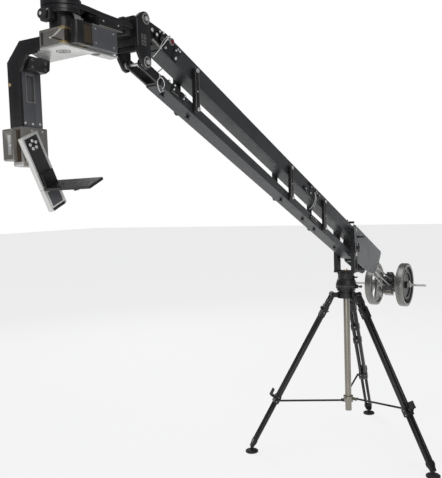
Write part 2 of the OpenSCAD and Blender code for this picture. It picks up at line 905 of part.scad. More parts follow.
beam_end_plates();
section_plates();
lower_fittings();
safety_wires();
link(link_at[0]);  // front_link
link(link_at[1]);  // middle_link
link(link_at[2]);  // rear_link
boom_pins();
lower_pins();
rear_side_plates();
guide_rods();
lock_handle();
trolley();
weight_bar();
near_plate();
far_plate();
small_plate();
bar_collar(-small_y - 20 - collar_w);  // near_collar
bar_collar(plate_y - plate_t / 2 + hub_t);  // far_collar
front_plates();
head_bracket();
head_drum();
head_lock_knob();
yoke();
yoke_housing();
side_arm();
tilt_motor();
tilt_arm();
camera_platform();
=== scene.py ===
"""Looks of a camera jib crane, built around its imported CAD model.

Sizes in the sub-assemblies are millimetres, each in the local frame of its own part of the crane.
"""

import logging
import math
from dataclasses import dataclass
from enum import Enum
from typing import Callable, Iterable, Optional, Sequence, Union

import bmesh
import bpy
from mathutils import Matrix, Vector


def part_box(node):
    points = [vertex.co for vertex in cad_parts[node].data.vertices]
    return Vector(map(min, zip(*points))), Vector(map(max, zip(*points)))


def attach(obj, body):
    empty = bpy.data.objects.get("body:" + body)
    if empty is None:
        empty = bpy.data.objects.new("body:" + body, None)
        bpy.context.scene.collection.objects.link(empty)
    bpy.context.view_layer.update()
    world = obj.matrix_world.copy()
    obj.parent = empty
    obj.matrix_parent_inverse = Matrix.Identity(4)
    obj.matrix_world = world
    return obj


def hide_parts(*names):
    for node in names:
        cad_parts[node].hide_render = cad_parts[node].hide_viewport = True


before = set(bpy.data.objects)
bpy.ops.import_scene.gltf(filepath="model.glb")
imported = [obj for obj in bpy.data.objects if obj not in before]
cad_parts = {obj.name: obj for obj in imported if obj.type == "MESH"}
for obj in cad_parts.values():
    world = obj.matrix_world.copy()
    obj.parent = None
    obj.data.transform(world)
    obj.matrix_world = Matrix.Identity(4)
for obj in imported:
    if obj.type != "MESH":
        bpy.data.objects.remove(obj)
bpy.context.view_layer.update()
LOG = logging.getLogger("jib_crane")

Point = tuple[float, float, float]
Flat = tuple[float, float]
Colour = tuple[float, float, float]
Number = Union[float, "Socket"]

MM = 0.001
COLUMN_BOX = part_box("centre_column")
AXIS = tuple((low + high) / 2 / MM for low, high in zip(COLUMN_BOX[0][:2], COLUMN_BOX[1][:2]))
ARM_RISE = 23.0
UPPER_PIVOT_Z = 1480.0
PIVOT_GAP = 160.0
FRONT_AT = 2300.0
LINK_AT = {"front": 1945.0, "middle": 985.0, "rear": 502.0}
LEG_TURN = {"left": 128.0, "right": 248.0, "rear": 8.0}
LEG_SPLAY = 30.0
HINGE_Z = 1050.0
HINGE_R = 96.0
COLLAR_AT = 803.0
HEAD_AT = (-2486.0, 0.0, 2199.0)
TILT_AT = (-2526.0, 0.0, 1899.0)
TILT_HANG = 26.0
BAR_AT = (1058.0, 0.0, -75.0)
SMOOTH_BELOW = math.radians(38)
HAIR = 1e-4
SCREW_SIDES = 18
FACING = 0.9
AHEAD, NEAR, FAR, UP, DOWN = (-1, 0, 0), (0, -1, 0), (0, 1, 0), (0, 0, 1), (0, 0, -1)
MIX_FIRST, MIX_SECOND, MIX_RESULT = 6, 7, 2


# Shader graph


def operator(operation: str, swapped: bool = False) -> Callable[["Socket", Number], "Socket"]:
    """Makes one of the operators of Socket.

    Args:
        operation: The Math node's operation.
        swapped: Whether the other value comes first.

    Returns:
        The operator.
    """

    def apply(self: "Socket", other: Number) -> "Socket":
        """Adds the Math node and gives its result."""
        values = (other, self) if swapped else (self, other)
        return self.graph.node("ShaderNodeMath", {"operation": operation}, dict(enumerate(values)))

    return apply


class Socket:
    """A value in a shader graph, whose operators add Math nodes."""

    def __init__(self, graph: "Graph", source: bpy.types.NodeSocket) -> None:
        """Wraps one output socket of the graph."""
        self.graph = graph
        self.source = source

    __add__ = operator("ADD")
    __radd__ = operator("ADD", True)
    __sub__ = operator("SUBTRACT")
    __rsub__ = operator("SUBTRACT", True)
    __mul__ = operator("MULTIPLY")


class Graph:
    """The node tree of one material."""

    def __init__(self, name: str) -> None:
        """Makes a material of that name with an empty tree."""
        self.material = bpy.data.materials.new(name)
        self.material.use_nodes = True
        self.tree = self.material.node_tree
        self.tree.nodes.clear()

    def node(self, kind: str, settings: dict, inputs: dict, output: Union[int, str] = 0) -> Socket:
        """Adds a node, sets it up and joins its inputs.

        Args:
            kind: The node's type.
            settings: Its properties by name.
            inputs: Values or sockets by input name or number.
            output: The output wanted.

        Returns:
            The wanted output.
        """
        made = self.tree.nodes.new(kind)
        for key, value in settings.items():
            setattr(made, key, value)
        for key, value in inputs.items():
            if isinstance(value, Socket):
                self.tree.links.new(value.source, made.inputs[key])
            else:
                made.inputs[key].default_value = value
        return Socket(self, made.outputs[output])

    def noise(self, scale: float, detail: float = 3.0, stretch: Point = (1.0, 1.0, 1.0)) -> Socket:
        """Noise over the object, in cycles per metre.

        Args:
            scale: Its scale.
            detail: Its octaves.
            stretch: Factors on the three coordinates.

        Returns:
            The noise, from 0 to 1.
        """
        place = self.node("ShaderNodeTexCoord", {}, {}, "Object")
        turned = self.node("ShaderNodeMapping", {}, {"Vector": place, "Scale": stretch})
        return self.node("ShaderNodeTexNoise", {}, {"Vector": turned, "Scale": scale, "Detail": detail})

    def cells(self, scale: float) -> Socket:
        """Smooth round cells over the object, 0 in their middles."""
        place = self.node("ShaderNodeTexCoord", {}, {}, "Object")
        return self.node(
            "ShaderNodeTexVoronoi", {"feature": "SMOOTH_F1"}, {"Vector": place, "Scale": scale, "Smoothness": 0.6}
        )

    def between(self, share: Number, first: Union[Colour, Socket], second: Colour) -> Socket:
        """A colour between two others, by the given share of the second."""
        start = first if isinstance(first, Socket) else (*first, 1.0)
        inputs = {0: share, MIX_FIRST: start, MIX_SECOND: (*second, 1.0)}
        return self.node("ShaderNodeMix", {"data_type": "RGBA"}, inputs, MIX_RESULT)

    def ramp(self, value: Socket, low: float, high: float) -> Socket:
        """The value stretched so that low becomes 0 and high 1, and clipped there."""
        return self.node("ShaderNodeMapRange", {"clamp": True}, {"Value": value, "From Min": low, "From Max": high})

    def close(self, shader: Socket) -> bpy.types.Material:
        """Joins the shader to the material's output and returns the material."""
        out = self.tree.nodes.new("ShaderNodeOutputMaterial")
        self.tree.links.new(shader.source, out.inputs["Surface"])
        return self.material


class Texture(Enum):
    """How a finish's surface is made up."""

    POWDER = "powder coat"
    HAMMER = "hammered paint"
    BRUSHED = "brushed along X"
    TURNED = "turned"
    MOULDED = "moulded"
    EMERY = "fine blasted"
HAMMER_CELLS = 230.0
GRAIN = {
    Texture.POWDER: (850.0, 3.0),
    Texture.BRUSHED: (900.0, 2.0, (0.03, 1.0, 1.0)),
    Texture.TURNED: (700.0, 2.0, (0.2, 0.2, 1.0)),
    Texture.MOULDED: (1300.0, 2.0),
    Texture.EMERY: (2100.0, 1.0),
}
CLOUDS = (9.0, 4.0)
SMEARS = (34.0, 5.0, (1.0, 1.0, 0.35))
SCRATCHES = (150.0, 2.0, (0.12, 1.0, 1.0))
PATCHES = (14.0, 3.0)
CLOUD_SHARE = 0.55

@dataclass(frozen=True)
class Finish:
    """One finish: its two shades, its gloss and its texture."""

    name: str
    colour: Colour
    shade: Colour
    texture: Texture
    metallic: float = 0.0
    roughness: float = 0.4
    spread: float = 0.12
    depth: float = 0.00008
    wear: float = 0.0
    bare: Colour = (0.45, 0.45, 0.44)

    def material(self) -> bpy.types.Material:
        """Builds the material.

        Returns:
            The material, made once for each name.
        """
        known = bpy.data.materials.get(self.name)
        if known is not None:
            return known
        graph = Graph(self.name)
        cloud = graph.ramp(graph.noise(*CLOUDS), 0.3, 0.7)
        smear = graph.ramp(graph.noise(*SMEARS), 0.32, 0.72)
        if self.texture is Texture.HAMMER:
            grain = graph.ramp(1 - graph.cells(HAMMER_CELLS), 0.45, 0.95)
        else:
            grain = graph.noise(*GRAIN[self.texture])
        base = graph.between(cloud * CLOUD_SHARE + grain * (1 - CLOUD_SHARE), self.colour, self.shade)
        rough = self.roughness + (smear - 0.5) * self.spread + (grain - 0.5) * (self.spread * 0.4)
        if self.wear > 0:
            marks = graph.ramp(graph.noise(*SCRATCHES), 0.72 - 0.05 * self.wear, 0.78)
            fade = marks * graph.ramp(graph.noise(*PATCHES), 0.5, 0.66) * self.wear
            base = graph.between(fade, base, self.bare)
            rough = rough + fade * 0.1
        bump = graph.node("ShaderNodeBump", {}, {"Height": grain, "Strength": 1.0, "Distance": self.depth})
        inputs = {"Base Color": base, "Roughness": rough, "Metallic": self.metallic, "Normal": bump}
        return graph.close(graph.node("ShaderNodeBsdfPrincipled", {}, inputs))


BLACK = Finish(
    "black_anodised", (0.0063, 0.0063, 0.007), (0.0126, 0.0126, 0.0133),
    Texture.EMERY, 0.0, 0.36, 0.14, 0.00003, 0.5,
)
SATIN = Finish(
    "satin_black_coat", (0.0067, 0.0067, 0.0075), (0.012, 0.012, 0.0135),
    Texture.POWDER, 0.0, 0.42, 0.12, 0.00006, 0.35,
)
BEAM = Finish(
    "beam_grey_hammered", (0.0405, 0.0432, 0.0459), (0.0702, 0.0729, 0.077),
    Texture.HAMMER, 0.25, 0.38, 0.12, 0.00012, 0.4,
)
PLATE = Finish(
    "plate_grey_hammered", (0.1265, 0.1323, 0.138), (0.184, 0.1898, 0.1955),
    Texture.HAMMER, 0.35, 0.36, 0.12, 0.00015, 0.4,
)
HOUSING = Finish(
    "housing_grey", (0.0825, 0.084, 0.093), (0.1275, 0.129, 0.1395),
    Texture.EMERY, 0.2, 0.38, 0.12, 0.00003, 0.3,
)
STEEL = Finish("bright_steel", (0.62, 0.62, 0.61), (0.74, 0.74, 0.73), Texture.TURNED, 1.0, 0.24, 0.12, 0.00002)
BOLT = Finish("zinc_bolt", (0.72, 0.72, 0.72), (0.86, 0.86, 0.86), Texture.EMERY, 0.55, 0.3, 0.1, 0.00003)
WEIGHT = Finish(
    "silver_hammered", (0.2046, 0.2046, 0.1922), (0.3224, 0.3224, 0.31),
    Texture.HAMMER, 0.85, 0.3, 0.12, 0.0004, 0.2, (0.2, 0.19, 0.17),
)
# Dark hammered finish: painted shade on the near weight's web, and the small plate's finish.
DARK_WEIGHT = Finish(
    "dark_hammered", (0.036, 0.036, 0.0376), (0.068, 0.068, 0.0704),
    Texture.HAMMER, 0.5, 0.34, 0.12, 0.0003, 0.3,
)
COLUMN = Finish(
    "champagne_tube", (0.2625, 0.25, 0.2125), (0.3625, 0.3438, 0.3),
    Texture.TURNED, 0.85, 0.33, 0.1, 0.00002, 0.3, (0.25, 0.23, 0.2),
)
LEG = Finish(
    "leg_black", (0.0066, 0.0066, 0.0072), (0.0132, 0.0132, 0.0138),
    Texture.EMERY, 0.0, 0.3, 0.14, 0.00003, 0.6,
)
TUBE = Finish(
    "tube_dark", (0.011, 0.011, 0.0121), (0.0193, 0.0193, 0.0209),
    Texture.TURNED, 0.4, 0.26, 0.12, 0.00002, 0.5,
)
SILVER = Finish(
    "clear_anodised", (0.306, 0.289, 0.2635), (0.391, 0.374, 0.3485),
    Texture.EMERY, 0.7, 0.34, 0.14, 0.00003, 0.3, (0.6, 0.6, 0.58),
)
PALE = Finish(
    "pale_anodised", (0.72, 0.72, 0.696), (0.84, 0.84, 0.816),
    Texture.BRUSHED, 0.6, 0.34, 0.1, 0.00002, 0.3,
)
# Dark bronze; on the yoke's near ribs this colour is a painted reflection.
BRONZE = Finish(
    "bronze_reflector", (0.10, 0.075, 0.05), (0.17, 0.13, 0.09),
    Texture.BRUSHED, 0.8, 0.26, 0.12, 0.00003,
)
GOLD = Finish("gold_chromate", (0.62, 0.47, 0.24), (0.74, 0.60, 0.36), Texture.EMERY, 0.9, 0.3, 0.1, 0.00003)
BRASS = Finish("polished_brass", (0.62, 0.44, 0.16), (0.74, 0.56, 0.26), Texture.TURNED, 1.0, 0.2, 0.08, 0.00001)
RUBBER = Finish(
    "moulded_rubber", (0.0112, 0.0112, 0.0112), (0.021, 0.021, 0.021),
    Texture.MOULDED, 0.0, 0.72, 0.14, 0.0001,
)
PLASTIC = Finish(
    "black_plastic", (0.0091, 0.0091, 0.0091), (0.0168, 0.0168, 0.0168),
    Texture.MOULDED, 0.0, 0.46, 0.12, 0.00005,
)
SHEATH = Finish("grey_sheath", (0.16, 0.165, 0.17), (0.25, 0.255, 0.26), Texture.MOULDED, 0.0, 0.45, 0.12, 0.00005)
WHITE = Finish("white_enamel", (0.78, 0.78, 0.77), (0.84, 0.84, 0.83), Texture.MOULDED, 0.0, 0.35, 0.1, 0.00002)
RED = Finish("dark_red_button", (0.16, 0.006, 0.012), (0.24, 0.012, 0.022), Texture.MOULDED, 0.0, 0.3, 0.1, 0.00003)


# Frames of the crane's parts, from millimetres there to metres in the scene


def shift(x: float, y: float, z: float) -> Matrix:
    """A move in millimetres."""
    return Matrix.Translation((x, y, z))


def turn(degrees: float, axis: str) -> Matrix:
    """A turn about one axis."""
    return Matrix.Rotation(math.radians(degrees), 4, axis)


ROW = Matrix.Scale(MM, 4)
STAND = ROW @ shift(*AXIS, 0)
BOOM = STAND @ shift(0, 0, UPPER_PIVOT_Z) @ turn(ARM_RISE, "Y")
LOWER = STAND @ shift(0, 0, UPPER_PIVOT_Z - PIVOT_GAP) @ turn(ARM_RISE, "Y")
HEAD = STAND @ shift(*HEAD_AT)
TILT = STAND @ shift(*TILT_AT) @ turn(-TILT_HANG, "Y")
BAR = BOOM @ shift(*BAR_AT) @ turn(-ARM_RISE, "Y")


def link_frame(along: float) -> Matrix:
    """The upright frame at a pivot that lies the given distance along the arm."""
    rise = math.radians(ARM_RISE)
    return STAND @ shift(-along * math.cos(rise), 0, UPPER_PIVOT_Z + along * math.sin(rise))


def leg_frame(name: str) -> Matrix:
    """The frame of one leg, whose hinge is the origin and which hangs down -Z."""
    return STAND @ turn(LEG_TURN[name], "Z") @ shift(HINGE_R, 0, HINGE_Z) @ turn(-LEG_SPLAY, "Y")
def arc(at: Flat, radius: float, first: int, last: int) -> list[Flat]:
    """Points on a circle, by their angles in steps of 15 degrees."""
    angles = [math.radians(15 * k) for k in range(first, last + 1)]
    return [(at[0] + radius * math.cos(a), at[1] + radius * math.sin(a)) for a in angles]


def ring(radius: float, count: int, start: float = 0.0) -> list[Flat]:
    """Points spread evenly on a circle round the origin, from a starting angle in degrees."""
    angles = [math.radians(start) + math.tau * k / count for k in range(count)]
    return [(radius * math.cos(a), radius * math.sin(a)) for a in angles]


def span(side: int, inner: float, outer: float) -> Flat:
    """The range between two distances from the middle on one side of it, the lower end first."""
    return (inner, outer) if side > 0 else (-outer, -inner)


def link(name: str, data: bpy.types.ID) -> bpy.types.Object:
    """Puts a new object with the given data in the scene."""
    made = bpy.data.objects.new(name, data)
    bpy.context.scene.collection.objects.link(made)
    return made
# Shapes


class Axis(Enum):
    """The direction in which a bar lies or a plate is thick."""

    X = "X"
    Y = "Y"
    Z = "Z"


AIM = {
    Axis.X: Matrix(((0, 0, 1, 0), (1, 0, 0, 0), (0, 1, 0, 0), (0, 0, 0, 1))),
    Axis.Y: Matrix(((0, 1, 0, 0), (0, 0, 1, 0), (1, 0, 0, 0), (0, 0, 0, 1))),
    Axis.Z: Matrix.Identity(4),
}


class Piece:
    """One visible piece: shapes gathered in one mesh, in the local frame of its part of the crane."""

    def __init__(self, name: str, place: Matrix) -> None:
        """Starts an empty piece.

        Args:
            name: The piece's name.
            place: The frame that its shapes are given in.
        """
        self.name = name
        self.place = place
        self.mesh = bpy.data.meshes.new(name)
        self.whole = bmesh.new()
        self.finishes: list[Finish] = []

    def _slot(self, finish: Finish) -> int:
        """The number of a finish among the piece's own, which takes it up if it's new."""
        if finish not in self.finishes:
            self.finishes.append(finish)
        return self.finishes.index(finish)

    def _merge(self, part: bmesh.types.BMesh) -> None:
        """Puts a finished shape into the piece, and frees it."""
        held = bpy.data.meshes.new("held")
        part.to_mesh(held)
        part.free()
        self.whole.from_mesh(held)
        bpy.data.meshes.remove(held)

    def _add(self, part: bmesh.types.BMesh, finish: Finish, move: Optional[Matrix] = None) -> None:
        """Puts a shape of one finish into the piece.

        Args:
            part: The shape, which is used up.
            finish: Its finish.
            move: Where it goes in the piece's frame.
        """
        index = self._slot(finish)
        bmesh.ops.recalc_face_normals(part, faces=part.faces[:])
        if move is not None:
            bmesh.ops.transform(part, matrix=move, verts=part.verts[:])
        for face in part.faces:
            face.material_index = index
        self._merge(part)

    @staticmethod
    def _cube(low: Point, high: Point) -> bmesh.types.BMesh:
        """A new shape: the box between two corners."""
        part = bmesh.new()
        size = Vector(high) - Vector(low)
        middle = (Vector(high) + Vector(low)) / 2
        bmesh.ops.create_cube(part, size=1.0, matrix=Matrix.Translation(middle) @ Matrix.Diagonal((*size, 1.0)))
        return part

    @staticmethod
    def _spun(profile: Sequence[Flat], sides: int) -> bmesh.types.BMesh:
        """A new shape: an outline of radii and heights, turned about Z."""
        part = bmesh.new()
        points = [part.verts.new((r, 0.0, z)) for r, z in profile]
        if profile[0][0] > HAIR:
            points.append(points[0])
        edges = [part.edges.new((a, b)) for a, b in zip(points, points[1:])]
        bmesh.ops.spin(
            part, geom=[*part.verts[:], *edges], cent=(0, 0, 0), axis=UP, dvec=(0, 0, 0),
            angle=math.tau, steps=sides, use_merge=True, use_normal_flip=False, use_duplicate=False,
        )
        bmesh.ops.remove_doubles(part, verts=part.verts[:], dist=HAIR)
        return part

    @staticmethod
    def _aim(at: Vector, out: Vector) -> Matrix:
        """The frame at a point whose Z looks along a direction."""
        return Matrix.Translation(at) @ out.to_track_quat("Z", "Y").to_matrix().to_4x4()

    @staticmethod
    def _soften(part: bmesh.types.BMesh, edges: Iterable[bmesh.types.BMEdge], width: float, steps: int = 2) -> None:
        """Bevels some edges of a shape."""
        bmesh.ops.bevel(
            part, geom=list(edges), offset=width, offset_type="OFFSET", segments=steps, profile=0.5,
            affect="EDGES", material=-1, clamp_overlap=True,
        )

    def box(self, low: Point, high: Point, finish: Finish, edge: float = 1.0, steps: int = 2) -> None:
        """Adds a box with softened edges.

        Args:
            low: Its lowest corner.
            high: Its highest corner.
            finish: Its finish.
            edge: The width of the bevel.
            steps: Segments of the bevel.
        """
        part = self._cube(low, high)
        self._soften(part, part.edges[:], edge, steps)
        self._add(part, finish)

    def bar(
        self, radius: float, start: Point, end: Point, finish: Finish, edge: float = 0.8, sides: int = 40
    ) -> None:
        """Adds a round bar between two points.

        Args:
            radius: Its radius.
            start: The middle of one end.
            end: The middle of the other end.
            finish: Its finish.
            edge: The bevel of its two rims.
            sides: Its sides.
        """
        part = bmesh.new()
        a, b = Vector(start), Vector(end)
        length = (b - a).length
        bmesh.ops.create_cone(part, cap_ends=True, segments=sides, radius1=radius, radius2=radius, depth=length)
        rims = [e for e in part.edges if abs(e.verts[0].co.z - e.verts[1].co.z) < HAIR]
        self._soften(part, rims, min(edge, length / 3))
        self._add(part, finish, self._aim((a + b) / 2, b - a))

    def lathe(
        self, profile: Sequence[Flat], finish: Finish, at: Point = (0, 0, 0), axis: Axis = Axis.Z, sides: int = 64
    ) -> None:
        """Adds a turned shape.

        Args:
            profile: Its outline as radius and height, in order. It closes on itself or on the axis.
            finish: Its finish.
            at: The origin of the profile.
            axis: Its axis.
            sides: Its sides.
        """
        self._add(self._spun(profile, sides), finish, Matrix.Translation(at) @ AIM[axis])

    def plate(
        self, outline: Sequence[Flat], low: float, high: float, finish: Finish, axis: Axis = Axis.Y,
        edge: float = 1.0, move: Optional[Matrix] = None,
    ) -> None:
        """Adds a flat plate with a given outline.

        Args:
            outline: Its corners, in (X, Z) for a plate thick in Y, (Y, Z) for X and (X, Y) for Z.
            low: Where it starts along its thickness.
            high: Where it ends.
            finish: Its finish.
            axis: The direction of its thickness.
            edge: The bevel of its rims.
            move: A further move.
        """
        part = bmesh.new()
        place = {Axis.X: 0, Axis.Y: 1, Axis.Z: 2}[axis]
        corners = [[*p[:place], low, *p[place:]] for p in outline]
        thick = [0, 0, 0]
        thick[place] = high - low
        first = part.faces.new([part.verts.new(p) for p in corners])
        rim = list(first.edges)
        grown = bmesh.ops.extrude_face_region(part, geom=[first])["geom"]
        bmesh.ops.translate(part, vec=thick, verts=[g for g in grown if isinstance(g, bmesh.types.BMVert)])
        ends = {e for g in grown if isinstance(g, bmesh.types.BMFace) for e in g.edges} | {e for e in rim if e.is_valid}
        self._soften(part, ends, edge)
        self._add(part, finish, move)

    def pocket(
        self, low: Point, high: Point, finish: Finish, floor: Finish, out: Point, inset: float, sink: float,
        edge: float, slope: float,
    ) -> None:
        """Adds a box with a pocket in one of its faces.

        Args:
            low: The box's lowest corner.
            high: Its highest corner.
            finish: Its finish.
            floor: The finish of the pocket's floor.
            out: The direction that the pocketed face looks along.
            inset: The width of the rim round the pocket.
            sink: The pocket's depth.
            edge: The bevel of the box.
            slope: How far the pocket's walls lean inwards.
        """
        part = self._cube(low, high)
        ahead = Vector(out)
        face = next(f for f in part.faces if f.normal.dot(ahead) > FACING)
        outer = list(part.edges)
        for thickness, depth in ((inset, 0.0), (slope, -sink)):
            bmesh.ops.inset_region(part, faces=[face], thickness=thickness, depth=depth, use_even_offset=True)
        self._soften(part, [e for e in outer if e.is_valid], edge)
        bmesh.ops.recalc_face_normals(part, faces=part.faces[:])
        deep, base = self._slot(floor), self._slot(finish)
        limit = max(Vector(low).dot(ahead), Vector(high).dot(ahead)) - sink * 0.98
        for f in part.faces:
            sunk = f.calc_center_median().dot(ahead) < limit and f.normal.dot(ahead) > FACING
            f.material_index = deep if sunk else base
        self._merge(part)

    def screws(
        self, places: Iterable[Point], out: Point, radius: float, height: float, finish: Finish = BOLT
    ) -> None:
        """Adds equal round screw heads with a socket.

        Args:
            places: Where they sit.
            out: The direction they look along.
            radius: Their radius.
            height: Their height.
            finish: Their finish.
        """
        r, h = radius, height
        outline = [(0, h * 0.45), (r * 0.42, h * 0.45), (r * 0.48, h), (r * 0.82, h), (r, h * 0.7), (r, 0), (0, 0)]
        for at in places:
            self._add(self._spun(outline, SCREW_SIDES), finish, self._aim(Vector(at), Vector(out)))

    def wire(self, points: Sequence[Point], radius: float, finish: Finish, sides: int = 10) -> None:
        """Adds a round wire along a smooth line through some points.

        Args:
            points: The points.
            radius: The wire's radius.
            finish: Its finish.
            sides: Its sides.
        """
        part = bmesh.new()
        line = self._smooth([Vector(p) for p in points])
        up = Vector((0, 1, 0))
        rings = []
        for k, p in enumerate(line):
            along = (line[min(k + 1, len(line) - 1)] - line[max(k - 1, 0)]).normalized()
            across = up - along * up.dot(along)
            up = across = across.normalized() if across.length > 1e-3 else along.orthogonal().normalized()
            third = along.cross(across)
            turned = Matrix((across, third, along)).transposed().to_4x4()
            ring = bmesh.ops.create_circle(
                part, cap_ends=False, segments=sides, radius=radius, matrix=Matrix.Translation(p) @ turned
            )["verts"]
            rings.append({e for v in ring for e in v.link_edges})
        for a, b in zip(rings, rings[1:]):
            bmesh.ops.bridge_loops(part, edges=[*a, *b])
        bmesh.ops.holes_fill(part, edges=[e for e in part.edges if e.is_boundary])
        self._add(part, finish)


    @staticmethod
    def _smooth(points: Sequence[Vector], steps: int = 5) -> list[Vector]:
        """A Catmull-Rom line through the points."""
        ends = [points[0] * 2 - points[1], *points, points[-1] * 2 - points[-2]]
        line = []
        for a, b, c, d in zip(ends, ends[1:], ends[2:], ends[3:]):
            for k in range(steps):
                t = k / steps
                bend = (2 * a - 5 * b + 4 * c - d) * t * t + (3 * b - a - 3 * c + d) * t ** 3
                line.append(0.5 * (2 * b + (c - a) * t + bend))
        line.append(points[-1].copy())
        return line

    def done(self, body: str, replaces: Sequence[str] = ()) -> None:
        """Closes the piece and puts it in the scene, with its place in its mesh.

        Args:
            body: The CAD body that it rides on.
            replaces: CAD nodes that it stands for.
        """
        bmesh.ops.transform(self.whole, matrix=self.place, verts=self.whole.verts[:])
        self.whole.to_mesh(self.mesh)
        self.whole.free()
        for finish in self.finishes:
            self.mesh.materials.append(finish.material())
        for polygon in self.mesh.polygons:
            polygon.use_smooth = True
        self.mesh.set_sharp_from_angle(angle=SMOOTH_BELOW)
        made = link(self.name, self.mesh)
        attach(made, body)
        if replaces:
            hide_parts(*replaces)
        LOG.info("%s: %d faces on %s", self.name, len(self.mesh.polygons), body)


# Camera, light and floor


@dataclass
class Studio:
    """The photograph's viewpoint and a plain white studio."""

    seen_from: Point = (-4002.0, -1566.0, 1671.0)
    yaw: float = 58.035
    pitch: float = -3.8425
    roll: float = -1.8409
    focal: float = 626.354
    width: float = 442.0
    height: float = 478.0
    centre: Flat = (228.508, 247.806)
    soft_sky: Colour = (0.93, 0.95, 1.0)
    soft_power: float = 0.22

    def camera(self) -> None:
        """Places the camera."""
        yaw, pitch, roll = (math.radians(a) for a in (self.yaw, self.pitch, self.roll))
        ahead = Vector((math.sin(yaw) * math.cos(pitch), math.cos(yaw) * math.cos(pitch), math.sin(pitch)))
        right = Vector((math.cos(yaw), -math.sin(yaw), 0))
        up = right.cross(ahead)
        right_2 = math.cos(roll) * right + math.sin(roll) * up
        up_2 = -math.sin(roll) * right + math.cos(roll) * up
        data = bpy.data.cameras.new("view")
        data.sensor_fit = "HORIZONTAL"
        data.sensor_width = 36.0
        data.lens = self.focal / self.width * data.sensor_width
        data.shift_x = (self.width / 2 - self.centre[0]) / self.width
        data.shift_y = (self.centre[1] - self.height / 2) / self.width
        data.clip_end = 200.0
        eye = link("view", data)
        turned = Matrix((right_2, up_2, -ahead)).transposed().to_4x4()
        eye.matrix_world = Matrix.Translation(STAND @ Vector(self.seen_from)) @ turned
        bpy.context.scene.camera = eye
        LOG.info("camera placed with a lens of %.1f mm", data.lens)

    def _white(self, name: str, colour: Colour, share: float) -> bpy.types.Material:
        """A pale material that shows as white in the picture and in reflections.

        Args:
            name: Its name.
            colour: Its colour under the lamps.
            share: How much of what is seen is plain white.

        Returns:
            The material.
        """
        graph = Graph(name)
        paths = graph.tree.nodes.new("ShaderNodeLightPath")
        seen = Socket(graph, paths.outputs["Is Camera Ray"]) + Socket(graph, paths.outputs["Is Glossy Ray"])
        seen = seen + Socket(graph, paths.outputs["Is Transmission Ray"])
        speck = graph.ramp(graph.noise(60.0, 2.0), 0.2, 0.8)
        shades = graph.between(speck, colour, tuple(c * 0.98 for c in colour))
        paint = graph.node("ShaderNodeBsdfDiffuse", {}, {"Color": shades})
        plain = graph.node("ShaderNodeEmission", {}, {"Color": (1, 1, 1, 1), "Strength": 1.0})
        return graph.close(graph.node("ShaderNodeMixShader", {}, {0: seen * share, 1: paint, 2: plain}))

    def floor(self) -> None:
        """Lays a wide floor under the feet."""
        part = bmesh.new()
        bmesh.ops.create_grid(part, x_segments=4, y_segments=4, size=40.0)
        mesh = bpy.data.meshes.new("studio_floor")
        part.to_mesh(mesh)
        part.free()
        mesh.materials.append(self._white("floor_white", (0.82, 0.82, 0.82), 0.8))
        made = link("studio_floor", mesh)
        made.location = (0, 0, -0.0005)

    def lamps(self) -> None:
        """Hangs the soft lamps."""
        for name, at, aim, size, power in (
            ("key", (-4.5, -5.0, 5.5), (-0.4, 0, 1.6), 3.5, 135.0),
            ("top", (0.0, 0.5, 6.5), (0, 0, 1.5), 5.0, 120.0),
            ("rim", (3.5, 4.5, 4.0), (0.2, 0, 1.5), 2.5, 95.0),
            ("low", (-5.5, -1.5, 0.9), (-0.6, 0, 1.7), 2.0, 40.0),
        ):
            data = bpy.data.lights.new(name, "AREA")
            data.shape = "SQUARE"
            data.size = size
            data.energy = power
            lamp = link(name, data)
            lamp.location = at
            lamp.rotation_mode = "QUATERNION"
            lamp.rotation_quaternion = (Vector(aim) - Vector(at)).to_track_quat("-Z", "Y")

    def sky(self) -> None:
        """Sets a sky that looks plain white and lights the crane softly."""
        world = bpy.data.worlds.new("white_room")
        world.use_nodes = True
        tree = world.node_tree
        tree.nodes.clear()
        paths = tree.nodes.new("ShaderNodeLightPath")
        mix = tree.nodes.new("ShaderNodeMixShader")
        out = tree.nodes.new("ShaderNodeOutputWorld")
        tree.links.new(paths.outputs["Is Camera Ray"], mix.inputs[0])
        for place, colour, strength in ((1, self.soft_sky, self.soft_power), (2, (1.0, 1.0, 1.0), 1.0)):
            back = tree.nodes.new("ShaderNodeBackground")
            back.inputs["Color"].default_value = (*colour, 1.0)
            back.inputs["Strength"].default_value = strength
            tree.links.new(back.outputs[0], mix.inputs[place])
        tree.links.new(mix.outputs[0], out.inputs["Surface"])
        bpy.context.scene.world = world
    def build(self) -> None:
        """Sets up the whole studio."""
        self.camera()
        self.floor()
        self.lamps()
        self.sky()
        bpy.context.scene.view_settings.view_transform = "Standard"


# Finishes of the CAD nodes that are shown as they are


NODE_FINISH = {
    "crown": SATIN, "centre_column": COLUMN, "column_cap": COLUMN, "leg_hinge_pins": BLACK, "pan_base": SATIN,
    "spreader_hub": COLUMN, "pan_drum": SATIN, "pan_brake_knob": PLASTIC, "fork": SATIN, "fork_pins": STEEL,
    "spirit_level": BRASS, "drag_handle": PLASTIC, "drag_cable": SHEATH, "upper_beam_front": BEAM,
    "upper_beam_rear": BEAM, "lower_beam": BEAM, "beam_end_plates": BLACK, "section_plates": BLACK,
    "lower_fittings": BLACK, "safety_wires": STEEL, "front_link": BLACK, "middle_link": BLACK, "rear_link": BLACK,
    "boom_pins": BOLT, "lower_pins": BOLT, "rear_side_plates": PLATE, "guide_rods": STEEL, "lock_handle": PLASTIC,
    "trolley": BLACK, "weight_bar": STEEL, "near_plate": WEIGHT, "far_plate": WEIGHT, "small_plate": DARK_WEIGHT,
    "near_collar": STEEL, "far_collar": STEEL, "front_plates": BLACK, "head_bracket": BLACK, "head_drum": BLACK,
    "head_lock_knob": PLASTIC, "yoke": SILVER, "yoke_housing": HOUSING, "side_arm": BLACK, "tilt_motor": SILVER,
    "tilt_arm": SILVER, "camera_platform": BLACK,
}
